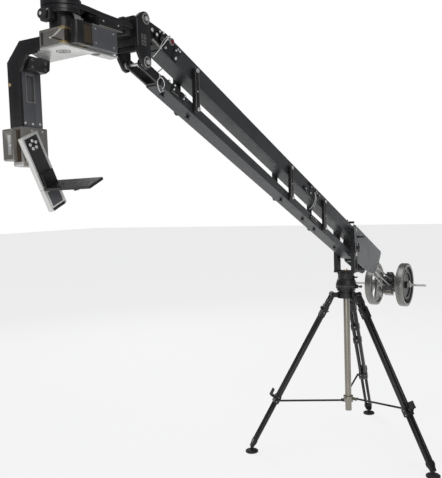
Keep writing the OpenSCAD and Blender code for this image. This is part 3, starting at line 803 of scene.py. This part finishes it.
for _leg in LEG_TURN:
    NODE_FINISH |= {
        f"upper_leg_{_leg}": LEG, f"lower_leg_{_leg}": TUBE, f"foot_{_leg}": RUBBER,
        f"clamp_lever_{_leg}": PLASTIC, f"spreader_rod_{_leg}": SATIN,
    }


def dress_frame() -> None:
    """Gives every CAD node its finish."""
    for name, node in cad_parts.items():
        node.data.materials.clear()
        node.data.materials.append(NODE_FINISH[name].material())


# The dressed sub-assemblies
@dataclass
class RemoteHead:
    """The two-axis head: drum and arm plate, yoke, side arm, tilt unit and tilt arm."""

    drum_r: float = 66.0
    root_x: float = 314.8

    def build(self) -> None:
        """Builds all pieces of the head."""
        self.drum()
        self.arm_plate()
        self.knob()
        self.yoke()
        self.housing()
        self.side_arm()
        self.tilt_motor()
        self.tilt_arm()

    def drum(self) -> None:
        """The two stacked rings of the pan bearing, its neck and the clamp block beside them."""
        r = self.drum_r
        piece = Piece("pan_bearing_ring", HEAD)
        piece.lathe(
            [(18.2, 64.4), (39.5, 64.4), (41, 66), (41, 107), (43, 109), (60, 109.6), (64.5, 110.4), (r, 112), (r, 120),
             (65.2, 120.6), (65.2, 121.8), (r, 122.4), (r, 134), (64.8, 135.7), (18.2, 135.7)],
            BLACK, sides=96,
        )
        piece.box((-76, -22, 84), (-47, 22, 122), BLACK, 5.0, steps=4)
        piece.box((-74, -3, 83.7), (-50, 3, 85), PLASTIC, 0.4)
        piece.screws([(-76, y, 115) for y in (-14.0, 14.0)], AHEAD, 3.2, 2.0, STEEL)
        piece.done("head_mount", ["head_drum"])

    def arm_plate(self) -> None:
        """The cover of the drum and the plate that runs to the front pivots."""
        r = self.drum_r
        x1 = self.root_x
        piece = Piece("head_arm_plate", HEAD)
        piece.lathe(
            [(0, 136), (60, 136), (r, 137.5), (r, 147), (65, 147.8), (65, 149), (r, 149.8), (r, 159), (63.5, 162),
             (0, 162)],
            BLACK, sides=96,
        )
        outline = [(0, -65.4), (60, -62), (150, -52), (x1, -45), (x1, 45), (150, 52), (60, 62), (0, 65.4)]
        piece.plate(outline, 130, 150, BLACK, Axis.Z, 2.0)
        rib = [(72, -54), (150, -48), (x1 - 46, -43), (x1 - 46, 43), (150, 48), (72, 54)]
        piece.plate(rib, 118, 130, BLACK, Axis.Z, 1.0)
        piece.box((x1 - 46, -40, 104), (x1, 40, 168), BLACK, 4.0)
        piece.box((x1 - 40, -34, 160), (x1 - 8, 34, 172), BLACK, 5.0, steps=3)
        piece.box((76, -95, 84.2), (190, -20, 118), BLACK, 2.5)
        piece.box((75, -96, 84), (190, -94, 87), SILVER, 0.8)
        piece.screws([(x, y, 150) for x in (110.0, 190.0, 250.0) for y in (-28.0, 28.0)], UP, 4.2, 2.4, STEEL)
        piece.screws([(x, y, 162) for x, y in ring(52, 8, 22.5)], UP, 3.4, 2.0, STEEL)
        piece.screws([(x, -95, 103) for x in (96.0, 170.0)], NEAR, 3.0, 1.6, STEEL)
        piece.done("head_mount", ["head_bracket"])

    def knob(self) -> None:
        """The screw that locks the pan bearing."""
        piece = Piece("pan_lock_knob", HEAD)
        piece.bar(5, (-70, 0, 102), (-80, 0, 102), STEEL)
        piece.bar(16.5, (-77, 0, 102), (-91.5, 0, 102), PLASTIC, 4.0, 24)
        piece.bar(5.5, (-91.2, 0, 102), (-92.4, 0, 102), WHITE, 0.5, 32)
        piece.done("head_knob", ["head_lock_knob"])

    def yoke(self) -> None:
        """The silver yoke block with its ribs, webs and the pale underside; a pale web is a painted highlight and
        bronze strips paint reflections.
        """
        piece = Piece("yoke_block", HEAD)
        piece.bar(18, (0, 0, 62), (0, 0, 126), STEEL, 1.0, 48)
        piece.box((-52, -56, 8.2), (55, 50, 62), SILVER, 1.2)
        piece.box((-55, -60, 56), (55, 50, 63), SILVER, 1.2)
        piece.box((-55, -60, 8), (55, 50, 14), SILVER, 1.2)
        piece.box((-55, -60, 12), (-49, -52, 58), SILVER, 0.8)
        piece.box((-55, 44, 12), (-49, 50, 58), SILVER, 0.8)
        piece.box((-53, 37, 15), (-51.5, 44, 55), PLASTIC, 0.2)
        # The pale diagonal web is a painted highlight on the face's upper rib; the bronze web below it gives the dark
        # line.
        piece.plate([(-2, 34), (-50, 58), (-50, 52), (-14, 34)], -55, -50, PALE, Axis.X, 1.2)
        piece.plate([(-2, 34), (-14, 33.5), (-50, 20), (-50, 13)], -55, -50, BRONZE, Axis.X, 1.2)
        piece.screws([(-52, 2, 34)], AHEAD, 4.2, 3.2)
        # Three bronze strips on the near face paint the warm reflections seen in its ribs.
        for x in (-48.4, -41.4, -34.4):
            piece.box((x, -60, 12), (x + 2.8, -54, 58), BRONZE, 0.6)
        piece.box((-52, -57, 12), (-33, -55.6, 58), PLASTIC, 0.3)
        piece.box((-56, -61, 53), (-35, -40, 62.8), GOLD, 1.6)
        piece.box((-56, -61, 8.4), (-35, -40, 17), GOLD, 1.6)
        deck = [(-55, -60), (190, -69), (190, -33), (84, -30), (84, 172), (-38, 110), (-38, 50), (-55, 50)]
        piece.plate(deck, 0, 8, PALE, Axis.Z, 1.0)
        piece.plate([(-38, 50), (70, 50), (70, 163), (-38, 108)], 8, 50, HOUSING, Axis.Z, 1.5)
        piece.bar(25, (1, 0, 0.1), (1, 0, -0.5), WHITE, 0.1, 64)
        for radius, inner in ((24.0, 20.6), (12.5, 9.9)):
            piece.lathe([(inner, -0.4), (radius, -0.4), (radius, -0.9), (inner, -0.9)], BLACK, (1, 0, 0))
        piece.bar(3.5, (1, 0, -0.4), (1, 0, -0.9), BLACK, 0.1, 24)
        piece.bar(15, (101, -50, 0.5), (101, -50, -0.4), BLACK, 0.2, 40)
        piece.box((120, -60, -0.3), (176, -58, 0.5), SILVER, 0.2)
        low_screws = ((-44.0, -48.0), (-30.0, 98.0), (74.0, 150.0), (66.0, 60.0), (40.0, -48.0))
        piece.screws([(x, y, 0.3) for x, y in low_screws], DOWN, 3.4, 1.2, STEEL)
        piece.done("head_pan", ["yoke"])
    def housing(self) -> None:
        """The drive housing beside the yoke: a black column, a bronze strip and a grey cheek."""
        piece = Piece("pan_motor_housing", HEAD)
        column = [*arc((-22, -84), 12, 12, 18), (0, -96), (0, -60.4), (-34, -60.4)]
        piece.plate(column, 8.2, 82, BLACK, Axis.Z, 0.8)
        piece.box((0, -94.6, 8.4), (39, -60.4, 81.6), BRONZE, 0.4)
        for z in (8.4, 74.0):
            piece.box((0, -96, z), (39, -92, z + 7.6), BLACK, 0.6)
        cheek = [
            (39, -96), *arc((154, -82), 14, 18, 24), (168, -20.3), (55.4, -20.3), (55.4, -60.4), (39, -60.4)
        ]
        piece.plate(cheek, 8.2, 82, HOUSING, Axis.Z, 1.0)
        piece.box((48, -96.8, 16), (146, -95.4, 74), HOUSING, 0.8)
        piece.box((39, -96.4, 80), (154, -92, 82.4), SILVER, 0.6)
        piece.screws([(x, -96.8, z) for x in (54.0, 140.0) for z in (22.0, 68.0)], NEAR, 2.6, 1.4, STEEL)
        piece.done("head_pan", ["yoke_housing"])

    def side_arm(self) -> None:
        """The black plate that turns down from the yoke and carries the tilt unit."""
        outline = [
            (50, 6), (50, 47), (155, 49), (222, -15), (222, -237), (163, -237), (163, -51), (150, -40), (120, -1),
            (80, 0), (80, 6),
        ]
        piece = Piece("side_arm_shell", HEAD)
        piece.plate(outline, -50, -38, BLACK, Axis.X, 1.6)
        piece.box((-38.4, 171, -236.6), (45, 221, 8), HOUSING, 2.0)
        for low, high in (
            ((-38.4, 165, -236.6), (-21, 172, 8)), ((15, 165, -236.6), (45, 172, 8)),
            ((-22, 165, -58), (16, 172, 8)), ((-22, 165, -236.6), (16, 172, -148)),
        ):
            piece.box(low, high, HOUSING, 0.6)
        for x in (-21.0, 13.0):
            piece.box((x, 164.2, -149), (x + 2.4, 166, -57), SILVER, 0.5)
        for z in (-150.0, -58.4):
            piece.box((-21, 164.2, z), (15.4, 166, z + 2.4), SILVER, 0.5)
        piece.plate([(-34, -1), (-34, -42), (-28, -48), (40, -50), (56, -38), (60, -1)], 128, 166, BLACK, Axis.Y, 2.0)
        for x, z in ((-20.0, -12.0), (-20.0, -36.0), (38.0, -16.0), (36.0, -38.0)):
            piece.bar(4.6, (x, 128.6, z), (x, 127.2, z), SILVER, 0.2, 24)
            piece.bar(3.4, (x, 128.4, z), (x, 126.9, z), PLASTIC, 0.2, 24)
        piece.screws([(-32.0, 165, -222.0), (0.0, 165, -224.0), (32.0, 165, -222.0)], NEAR, 4.4, 2.6)
        piece.screws([(-50, 212, -90)], AHEAD, 6.0, 3.5, GOLD)
        dark = ((200.0, -30.0), (200.0, -206.0), (176.0, -206.0), (120.0, 30.0), (70.0, 30.0))
        piece.screws([(-50, y, z) for y, z in dark], AHEAD, 3.4, 2.0, BLACK)
        piece.done("head_pan", ["side_arm"])

    def tilt_motor(self) -> None:
        """The silver tilt unit under the side arm."""
        piece = Piece("tilt_motor_shell", HEAD)
        piece.pocket((-60, 198, -349), (40, 256, -239), SILVER, PALE, AHEAD, 7.0, 7.0, 5.0, 14.0)
        piece.screws([(-53, 227, -294)], AHEAD, 4.5, 3.0)
        piece.screws([(-60, y, z) for y in (204.0, 250.0) for z in (-344.0, -244.0)], AHEAD, 2.4, 1.4, STEEL)
        piece.pocket((-64, 148, -372), (50, 198.4, -237), SILVER, BRONZE, AHEAD, 8.0, 9.0, 5.0, 3.0)
        piece.box((-66, 150, -372), (-50, 196, -356), PALE, 3.0)
        piece.bar(20, (-40, 149, -300), (-40, 142.2, -300), PLASTIC, 1.0, 48)
        corners = ((-20.0, -250.0), (26.0, -250.0), (26.0, -356.0), (-50.0, -356.0))
        piece.screws([(x, 148, z) for x, z in corners], NEAR, 3.4, 2.0, STEEL)
        piece.done("head_pan", ["tilt_motor"])

    def tilt_arm(self) -> None:
        """The hanging arm on the tilt axis with its dark inlays."""
        piece = Piece("tilt_arm_shell", TILT)
        piece.pocket((-39, 120, -154), (39, 141, 36), PALE, PLASTIC, NEAR, 8.0, 3.5, 3.0, 1.0)
        piece.pocket((-39, 120, -238), (39, 141, -153.6), PALE, PALE, NEAR, 6.0, 2.0, 3.0, 1.0)
        piece.box((-30, 120.6, -226), (30, 123, -164), PALE, 0.8)
        piece.box((-26, 119.8, -222), (26, 122, -168), HOUSING, 0.8)
        piece.box((-30, 119.0, -238), (30, 124, -228), PLASTIC, 2.0)
        piece.bar(25, (0, 124, 0), (0, 121.6, 0), BLACK, 0.8, 48)
        piece.screws([(x, 121.8, z) for x, z in ring(14, 5, 90)], NEAR, 5.6, 2.4)
        piece.bar(8, (0, 141, 0), (0, 186, 0), STEEL, 0.8, 32)
        for z in (-130.0, -110.0):
            piece.bar(3.2, (0, 123.8, z), (0, 122.9, z), STEEL, 0.2, 20)
        piece.done("head_tilt", ["tilt_arm"])


@dataclass
class FrontEnd:
    """The front pivots: plates, washers and the fittings on both beams."""

    back_y: float = 44.0
    face_y: float = 56.0

    def build(self) -> None:
        """Builds the front end."""
        self.plates()
        self.upper_fittings()
        self.lower_fittings()

    def plates(self) -> None:
        """The two plates between the beams' pivots and the head's arm."""
        outline = [
            (-54, -4), (-54, -112), (-50, -128), (-40, -146), (-26, -166), (-12, -180), (2, -185), (15, -180),
            (23, -168), (26, -150), (26, 0), (24, 12), (17, 22), (6, 27), (-8, 26.5), (-22, 21), (-40, 8),
        ]
        piece = Piece("front_pivot_plates", link_frame(FRONT_AT))
        for side in (-1, 1):
            face = side * self.face_y
            piece.plate(outline, *span(side, self.back_y, self.face_y), BLACK, Axis.Y, 1.6)
            for z in (0.0, -PIVOT_GAP):
                self._washer(piece, side, z)
            for z in (-98.0, -84.0, -70.0):
                for x in (-26.0, -10.0):
                    piece.box((x - 1.5, face - 0.7, z - 1.5), (x + 9.5, face + 0.7, z + 10.5), SILVER, 0.3)
                    piece.box((x + 0.5, face - 1.2, z + 0.5), (x + 7.5, face + 1.2, z + 8.5), PLASTIC, 0.2)
            # A grey strip along the plate's front edge is a painted edge highlight.
            piece.box((-52, face - 0.8, -106), (-48, face + 0.8, -8), HOUSING, 0.4)
        piece.box((-54, -44, -104), (-42, 44, 4), BLACK, 1.6)
        piece.box((-50, -44, -124), (-30, 44, -104), BLACK, 1.6)
        piece.box((-46, -40, -30), (-41, 40, -22), HOUSING, 1.0)
        piece.done("head_mount", ["front_plates"])

    def _washer(self, piece: Piece, side: int, z: float) -> None:
        """A thick washer round one pivot pin: its silver rim is a painted highlight and the black ring in its recess is
        painted shade.
        """
        at = (0, side * self.face_y, z)
        # The silver rim paints the washer's highlight; the black ring paints shade in the recess round the pin.
        rim = [(15.6, 0), (20.5, 0), (20.5, 3.6), (19.6, 4.4), (16.4, 4.4), (15.6, 3.6)]
        recess = [(9.5, 0), (15.8, 0), (15.8, 1.6), (9.5, 1.6)]
        for profile, finish in ((rim, SILVER), (recess, PLASTIC)):
            piece.lathe([(r, side * h) for r, h in profile], finish, at, Axis.Y, 48)

    def upper_fittings(self) -> None:
        """Bolts, button, bracket and wires at the front of the upper beam."""
        piece = Piece("upper_front_fittings", BOOM)
        y = -42.0
        for x, z, r in ((-2241.0, -4.0, 6.6), (-2210.0, -4.0, 6.2), (-2198.0, 18.0, 4.2), (-2177.0, 25.0, 4.2)):
            piece.bar(r + 4, (x, y + 4, z), (x, y - 2, z), BLACK, 1.0, 28)
            piece.screws([(x, y - 2, z)], NEAR, r, 3.2)
        piece.bar(15, (-2120, y + 2, 25), (-2120, y - 5, 25), SHEATH, 1.2, 40)
        piece.bar(9.5, (-2120, y - 4.8, 25), (-2120, y - 7.5, 25), RED, 1.0, 32)
        piece.box((-2098, -45, -34), (-2066, -38.4, 26), BLACK, 1.6)
        piece.box((-2066, -43, 8), (-2050, -38.4, 28), BLACK, 1.4)
        piece.screws([(-2084, -45, 8)], NEAR, 4.2, 2.6)
        piece.screws([(-2077, -45, -25)], NEAR, 6.0, 3.0)
        piece.screws([(-2058, -43, 20)], NEAR, 4.2, 2.6)
        piece.plate([(-2226, -36), (-2164, -40), (-2164, -36), (-2226, -31)], -46, -38.6, SILVER, Axis.Y, 1.0)
        piece.box((-2186, -47, -12), (-2152, -38.6, 20), BLACK, 4.0, steps=3)
        piece.box((-2180, -48, 2), (-2160, -46, 6), SILVER, 0.6)
        long_wire = [(-2140, -45, 36), (-2150, -47.5, 18), (-2166, -48, -18), (-2184, -48, -58), (-2204, -47, -102)]
        short_wire = [(-2148, -43, 32), (-2160, -46, 14), (-2172, -46, -8), (-2176, -45, -30), (-2172, -42, -38)]
        piece.wire(long_wire, 1.9, BOLT)
        piece.wire(short_wire, 1.5, STEEL)
        piece.bar(4, (-2140, -38.4, 36), (-2140, -47.5, 36), STEEL, 0.8, 20)
        piece.done("boom", ["safety_wires"])

    def lower_fittings(self) -> None:
        """Bolts, brackets and wires at the front of the lower beam."""
        piece = Piece("lower_front_fittings", LOWER)
        y = -39.0
        for x, z in ((-2139.0, 19.0), (-2102.0, 22.0), (-2103.0, 4.0), (-2026.0, 18.0), (-2031.0, 2.0)):
            piece.bar(7, (x, y + 3, z), (x, y - 2, z), BLACK, 1.0, 28)
            piece.screws([(x, y - 2, z)], NEAR, 4.6, 3.0)
        piece.box((-2118, -41, -14), (-2060, -36.6, 26), BLACK, 2.0)
        piece.box((-2054, -41, -8), (-2016, -36.6, 24), BLACK, 2.0)
        piece.box((-2112, -42, -9), (-2068, -40.6, -6), SILVER, 0.4)
        piece.wire([(-2206, -48, 34), (-2216, -50, 20), (-2224, -49, 8)], 2.4, SILVER)
        loop = [
            (-2196, -34, 16), (-2200, -40, -2), (-2208, -42, -22), (-2196, -42, -42), (-2176, -40, -50),
            (-2158, -38, -34),
        ]
        piece.wire(loop, 1.8, BOLT)
        piece.wire([(-2196, -30, 10), (-2178, -42, 2), (-2166, -44, -18), (-2172, -42, -36)], 1.8, BOLT)
        piece.done("lower_boom")


@dataclass
class Arm:
    """The two beams with the fittings on them and the links between them."""

    link_in: float = 38.8
    link_out: float = 58.8

    def build(self) -> None:
        """Builds the arm's details."""
        self.links()
        self.section_joint()
        self.beam_ends()

    def links(self) -> None:
        """The three double links, each with thin silver strips as painted edge highlights and a bright middle screw."""
        capsule = [*arc((0, 0), 15, 0, 12), *arc((0, -PIVOT_GAP), 15, 13, 23)]
        for name, along in LINK_AT.items():
            piece = Piece(f"{name}_link_bars", link_frame(along))
            for side in (-1, 1):
                piece.plate(capsule, *span(side, self.link_in, self.link_out), BLACK, Axis.Y, 1.8)
                face = side * self.link_out
                # Thin silver strips along the long edges are painted edge highlights.
                for x in (-13.6, 11.8):
                    piece.box((x, face - 0.7, -PIVOT_GAP + 8), (x + 1.8, face + 0.7, -8), SILVER, 0.3)
                piece.screws([(0, face, -PIVOT_GAP / 2 - 6)], (0, side, 0), 3.4, 2.0)
            piece.done(f"{name}_link", [f"{name}_link"])

    def section_joint(self) -> None:
        """Clamps, brackets and wire loops where the arm's two sections meet."""
        piece = Piece("section_joint_fittings", BOOM)
        bolts = ((-761.0, -22.0), (-661.0, 26.0), (-608.0, 11.0), (-572.0, 11.0))
        for side in (-1, 1):
            a, b = span(side, 38.6, 47.0)
            piece.box((-726, a, 20), (-640, b, 32), BLACK, 1.5)
            piece.box((-640, a, 6), (-560, b, 16), BLACK, 1.5)
            piece.box((-782, a, -32), (-744, b, -12), BLACK, 1.5)
            piece.screws([(x, side * 47, z) for x, z in bolts], (0, side, 0), 4.0, 2.6)
        outer = [(-640, -47, 4), (-634, -52, -30), (-640, -53, -66), (-660, -50, -100), (-676, -46, -118)]
        piece.wire(outer, 2.6, STEEL)
        piece.wire([(-632, -47, 0), (-620, -52, -28), (-622, -53, -60), (-636, -50, -96)], 2.0, STEEL)
        piece.done("boom")
        low = Piece("lower_joint_fittings", LOWER)
        for side in (-1, 1):
            a, b = span(side, 36.8, 42.0)
            low.box((-700, a, -14), (-600, b, 16), BLACK, 1.5)
            row = [(x, side * 42.0, 6) for x in (-688.0, -664.0, -636.0, -612.0)]
            low.screws(row, (0, side, 0), 3.8, 2.4, STEEL)
        low.done("lower_boom")

    def beam_ends(self) -> None:
        """The end cap of the upper beam."""
        piece = Piece("beam_end_cap", BOOM)
        piece.box((637, -37, -38), (642, 37, 38), PLASTIC, 1.5)
        piece.done("boom")


@dataclass
class Fork:
    """The fork on the pan drum with its cables, handles and level."""

    face: float = -73.0

    def build(self) -> None:
        """Builds the fork's details."""
        self.lock()
        self.cables()
        self.drum()

    def lock(self) -> None:
        """The T-handle of the tilt lock on top of the arm."""
        piece = Piece("tilt_lock_handle", BOOM)
        piece.bar(12, (18, 0, 39.8), (18, 0, 48), BLACK, 1.2, 32)
        piece.bar(5, (18, 0, 46), (18, 0, 66), STEEL, 0.6, 24)
        piece.bar(7.5, (18, -50, 63.5), (18, 50, 63.5), PLASTIC, 3.0, 24)
        piece.bar(4, (18, 0, 64), (18, 0, 84), BLACK, 1.0, 24)
        piece.done("lock", ["lock_handle"])

    def cables(self) -> None:
        """The grey cable loops and small fittings on the near fork arm."""
        f = self.face
        piece = Piece("drag_cable_loops", STAND)
        loops = (
            ([(-30, f, 1516), (-36, f - 6, 1496), (-37, f - 8, 1466), (-33, f - 9, 1432), (-27, f - 8, 1402),
              (-20, f - 7, 1368), (-13, f - 4, 1340)], 3.2),
            ([(-16, f, 1512), (-21, f - 6, 1486), (-22, f - 8, 1452), (-17, f - 8, 1416), (-8, f - 6, 1388)], 3.0),
            ([(-3, f, 1508), (-9, f - 6, 1480), (-9, f - 7, 1452), (-3, f - 6, 1424), (4, f - 3, 1404)], 2.6),
        )
        for line, radius in loops:
            piece.wire(line, radius, SHEATH, 12)
        for line, _ in loops:
            for x, _, z in (line[0], line[-1]):
                piece.bar(5.6, (x, f + 1, z), (x, f - 4, z), BLACK, 1.0, 24)
        for x, z, r in ((12, 1512, 4.0), (26, 1498, 3.4), (20, 1462, 3.8), (27, 1440, 3.0), (10, 1440, 3.0)):
            piece.screws([(x, f + 1, z)], NEAR, r, 2.4)
        piece.bar(4.5, (6, f + 1, 1436), (6, f - 14, 1436), BLACK, 0.8, 24)
        piece.bar(9, (6, f - 10, 1436), (6, f - 22, 1436), PLASTIC, 2.0, 28)
        piece.bar(6, (6, f - 22, 1436), (6, f - 58, 1436), PLASTIC, 2.4, 24)
        piece.bar(3.4, (18, f - 1, 1381), (18, f - 3.6, 1381), WHITE, 0.6, 24)
        piece.done("turret", ["drag_cable"])

    def drum(self) -> None:
        """Screws, scale and small brake handles of the pan drum."""
        piece = Piece("pan_drum_trim", STAND)
        for degrees in (20, 140, 200, 320):
            a = math.radians(degrees)
            piece.screws([(46 * math.cos(a), 46 * math.sin(a), 1196)], UP, 3.6, 2.4, STEEL)
        piece.lathe([(69.0, 1104), (69.6, 1104.4), (69.6, 1105.6), (69.0, 1106)], SHEATH, (0, 0, 0), Axis.Z, 96)
        piece.bar(4, (0, -58, 1164), (0, -72, 1164), BLACK, 0.8, 24)
        piece.bar(5, (-16, -74, 1164), (16, -74, 1164), PLASTIC, 1.6, 20)
        piece.screws([(34, -56, 1140)], (0.4, -1, 0), 3.4, 2.0)
        piece.done("turret")


@dataclass
class Weights:
    """The round weights, their bar and the trolley that carries them."""

    radius: float = 172.0
    middle: float = 122.0
    half: float = 28.0

    def build(self) -> None:
        """Builds the weights and the trolley."""
        for name, side, body in (("near", -1, "near_weights"), ("far", 1, "far_weights")):
            piece = Piece(f"{name}_wheel_weight", BAR)
            self._wheel(piece, side)
            piece.done(body, [f"{name}_plate"])
        self.trolley()
        self.rear_plates()

    def _wheel(self, piece: Piece, side: int) -> None:
        """One cast weight: a deep round rim, and a web with openings and a hub at its inner side; the near weight's web
        is painted dark as shade.
        """
        r, y, h = self.radius, side * self.middle, self.half
        rim = [
            (r - 26, 1 - h), (r - 24, -h), (r - 7, -h), (r - 2.2, 2.6 - h), (r, 8 - h), (r, h - 8), (r - 2.2, h - 2.6),
            (r - 7, h), (r - 24, h), (r - 26, h - 1),
        ]
        piece.lathe(rim, WEIGHT, (0, y, 0), Axis.Y, 96)
        hub = [(9.3, h), (31, h), (34, h - 3), (34, h - 23), (9.3, h - 23)]
        piece.lathe([(a, -side * b) for a, b in hub], WEIGHT, (0, y, 0), Axis.Y, 64)
        web = [
            (28, -26), (58, -26), (84, -36), (112, -58), (128, -82), (140, -60), (150, 0), (140, 60), (128, 82),
            (112, 58), (84, 36), (58, 26), (28, 26),
        ]
        # The near weight's web sits deep inside its rim and gets the dark hammered finish as painted shade; the far web
        # keeps the plain one.
        finish = DARK_WEIGHT if side < 0 else WEIGHT
        for k in range(4):
            move = Matrix.Translation((0, y, 0)) @ turn(90 * k, "Y")
            piece.plate(web, *span(-side, h - 22, h - 8), finish, Axis.Y, 3.0, move)

    def trolley(self) -> None:
        """The black carriage with its clamps on the guide rods and the bright rods above it."""
        piece = Piece("trolley_shell", BOOM)
        at = BAR_AT[0]
        piece.box((at - 45, -40, -96), (at + 45, 40, -22), BLACK, 3.0)
        piece.box((at - 45, -38, -128), (at + 45, 38, -95), HOUSING, 3.0)
        piece.box((at - 30, -34, -24), (at + 30, 34, 6), BLACK, 4.0, steps=3)
        piece.box((at - 24, -24, 4), (at + 12, 24, 22), BLACK, 5.0, steps=3)
        piece.box((at - 34, -34, -160), (at + 34, 34, -128), SILVER, 3.0)
        piece.box((at - 46, -41, -80), (at + 46, -39, -74), SILVER, 0.8)
        for y in (-24.0, 0.0, 24.0):
            piece.bar(3.2, (at - 30, y, -10), (at - 96, y, -10), STEEL, 1.0, 20)
        piece.screws([(at + x, -34, -8) for x in (-20.0, 20.0)], NEAR, 3.4, 2.0, STEEL)
        for z in (-100.0, -52.0):
            for y in (-22.0, 22.0):
                for start in (at - 52, at + 44):
                    piece.bar(13, (start, y, z), (start + 8, y, z), HOUSING, 1.4, 32)
        for x in (-32.0, 32.0):
            for z in (-116.0, -34.0):
                piece.screws([(at + x, -40, z)], NEAR, 4.4, 2.8)
                piece.screws([(at + x, 40, z)], FAR, 4.4, 2.8, STEEL)
        piece.done("trolley", ["trolley"])

    def rear_plates(self) -> None:
        """Screws of the rear side plates."""
        piece = Piece("rear_plate_trim", BOOM)
        places = ((562.0, 16.0), (561.0, -42.0), (120.0, 40.0), (120.0, -60.0), (400.0, -140.0))
        for side in (-1, 1):
            piece.screws([(x, side * 50, z) for x, z in places], (0, side, 0), 3.4, 1.8, STEEL)
        piece.done("boom")


@dataclass
class Tripod:
    """The legs' oval tubes and the small parts on their clamps."""

    deep: float = 18.0
    wide: float = 31.0
    tube_y: float = 15.6
    long: float = 1166.2

    def build(self) -> None:
        """Builds the legs' details."""
        for name in LEG_TURN:
            self.tubes(f"leg_{name}", name, (16.4, 13.0), (-COLLAR_AT, -52.0), LEG)
            self.tubes(f"lower_leg_{name}", name, (14.0, 10.9), (-self.long + 14, -COLLAR_AT - 20), TUBE)
            self.trim(name)

    def tubes(self, body: str, name: str, half: Flat, ends: Flat, finish: Finish) -> None:
        """Two oval tubes side by side.

        Args:
            body: The body that they belong to.
            name: The leg's name.
            half: Half their depth and half their width.
            ends: Where they start and end along the leg.
            finish: Their finish.
        """
        piece = Piece(f"{body}_tubes", leg_frame(name))
        deep, wide = half
        for middle in (-self.tube_y, self.tube_y):
            outline = [(deep * x, middle + wide * y) for x, y in ring(1, 32)]
            piece.plate(outline, *ends, finish, Axis.Z, 1.0)
        piece.done(body)

    def trim(self, name: str) -> None:
        """The screws, grooves and small parts on one leg's clamps.

        Args:
            name: The leg's name.
        """
        piece = Piece(f"leg_trim_{name}", leg_frame(name))
        deep, wide = self.deep, self.wide
        for z in (-COLLAR_AT - 14, -COLLAR_AT + 14):
            for side in (-1, 1):
                piece.screws([(0, side * wide, z)], (0, side, 0), 3.6, 2.0, STEEL)
                piece.screws([(-deep, side * 16, z)], AHEAD, 3.0, 1.6, STEEL)
        piece.box((-deep - 0.6, -wide + 3, -COLLAR_AT - 1), (-deep + 0.4, wide - 3, -COLLAR_AT + 1), HOUSING, 0.2)
        for side in (-1, 1):
            piece.screws([(0, side * 30, -138)], (0, side, 0), 3.2, 1.8, STEEL)
            piece.box((-3, side * 27 - 2, -60), (3, side * 27 + 2, -52), SILVER, 0.6)
        if name == "left":
            piece.box((15, -9, -116), (24, 7, -78), SILVER, 1.0)
            piece.bar(4, (-15, 0, -112), (-29, 0, -124), BLACK, 1.2, 20)
            piece.bar(3.4, (-28, 0, -123), (-34, 0, -112), BLACK, 1.2, 20)
        if name == "right":
            piece.bar(3.4, (28, 0, -114), (35, 0, -96), BLACK, 1.2, 20)
        if name == "rear":
            piece.box((-1.4, -1.4, -300), (1.4, 1.4, -150), SILVER, 0.4)
            for z in (-320.0, -445.0):
                piece.box((-17.5, -29.6, z - 24), (17.5, 29.6, z + 24), BLACK, 3.0, steps=3)
                piece.screws([(-17.5, 0, z + 10)], AHEAD, 3.6, 2.0)
                piece.screws([(0, -29.6, z + 10)], NEAR, 3.6, 2.0)
        piece.done(f"leg_{name}")
def main() -> None:
    """Builds the crane's looks in order."""
    logging.basicConfig(level=logging.INFO, format="%(name)s %(message)s")
    Studio().build()
    dress_frame()
    for part in (RemoteHead(), FrontEnd(), Arm(), Fork(), Weights(), Tripod()):
        part.build()
if __name__ == "__main__":
    main()
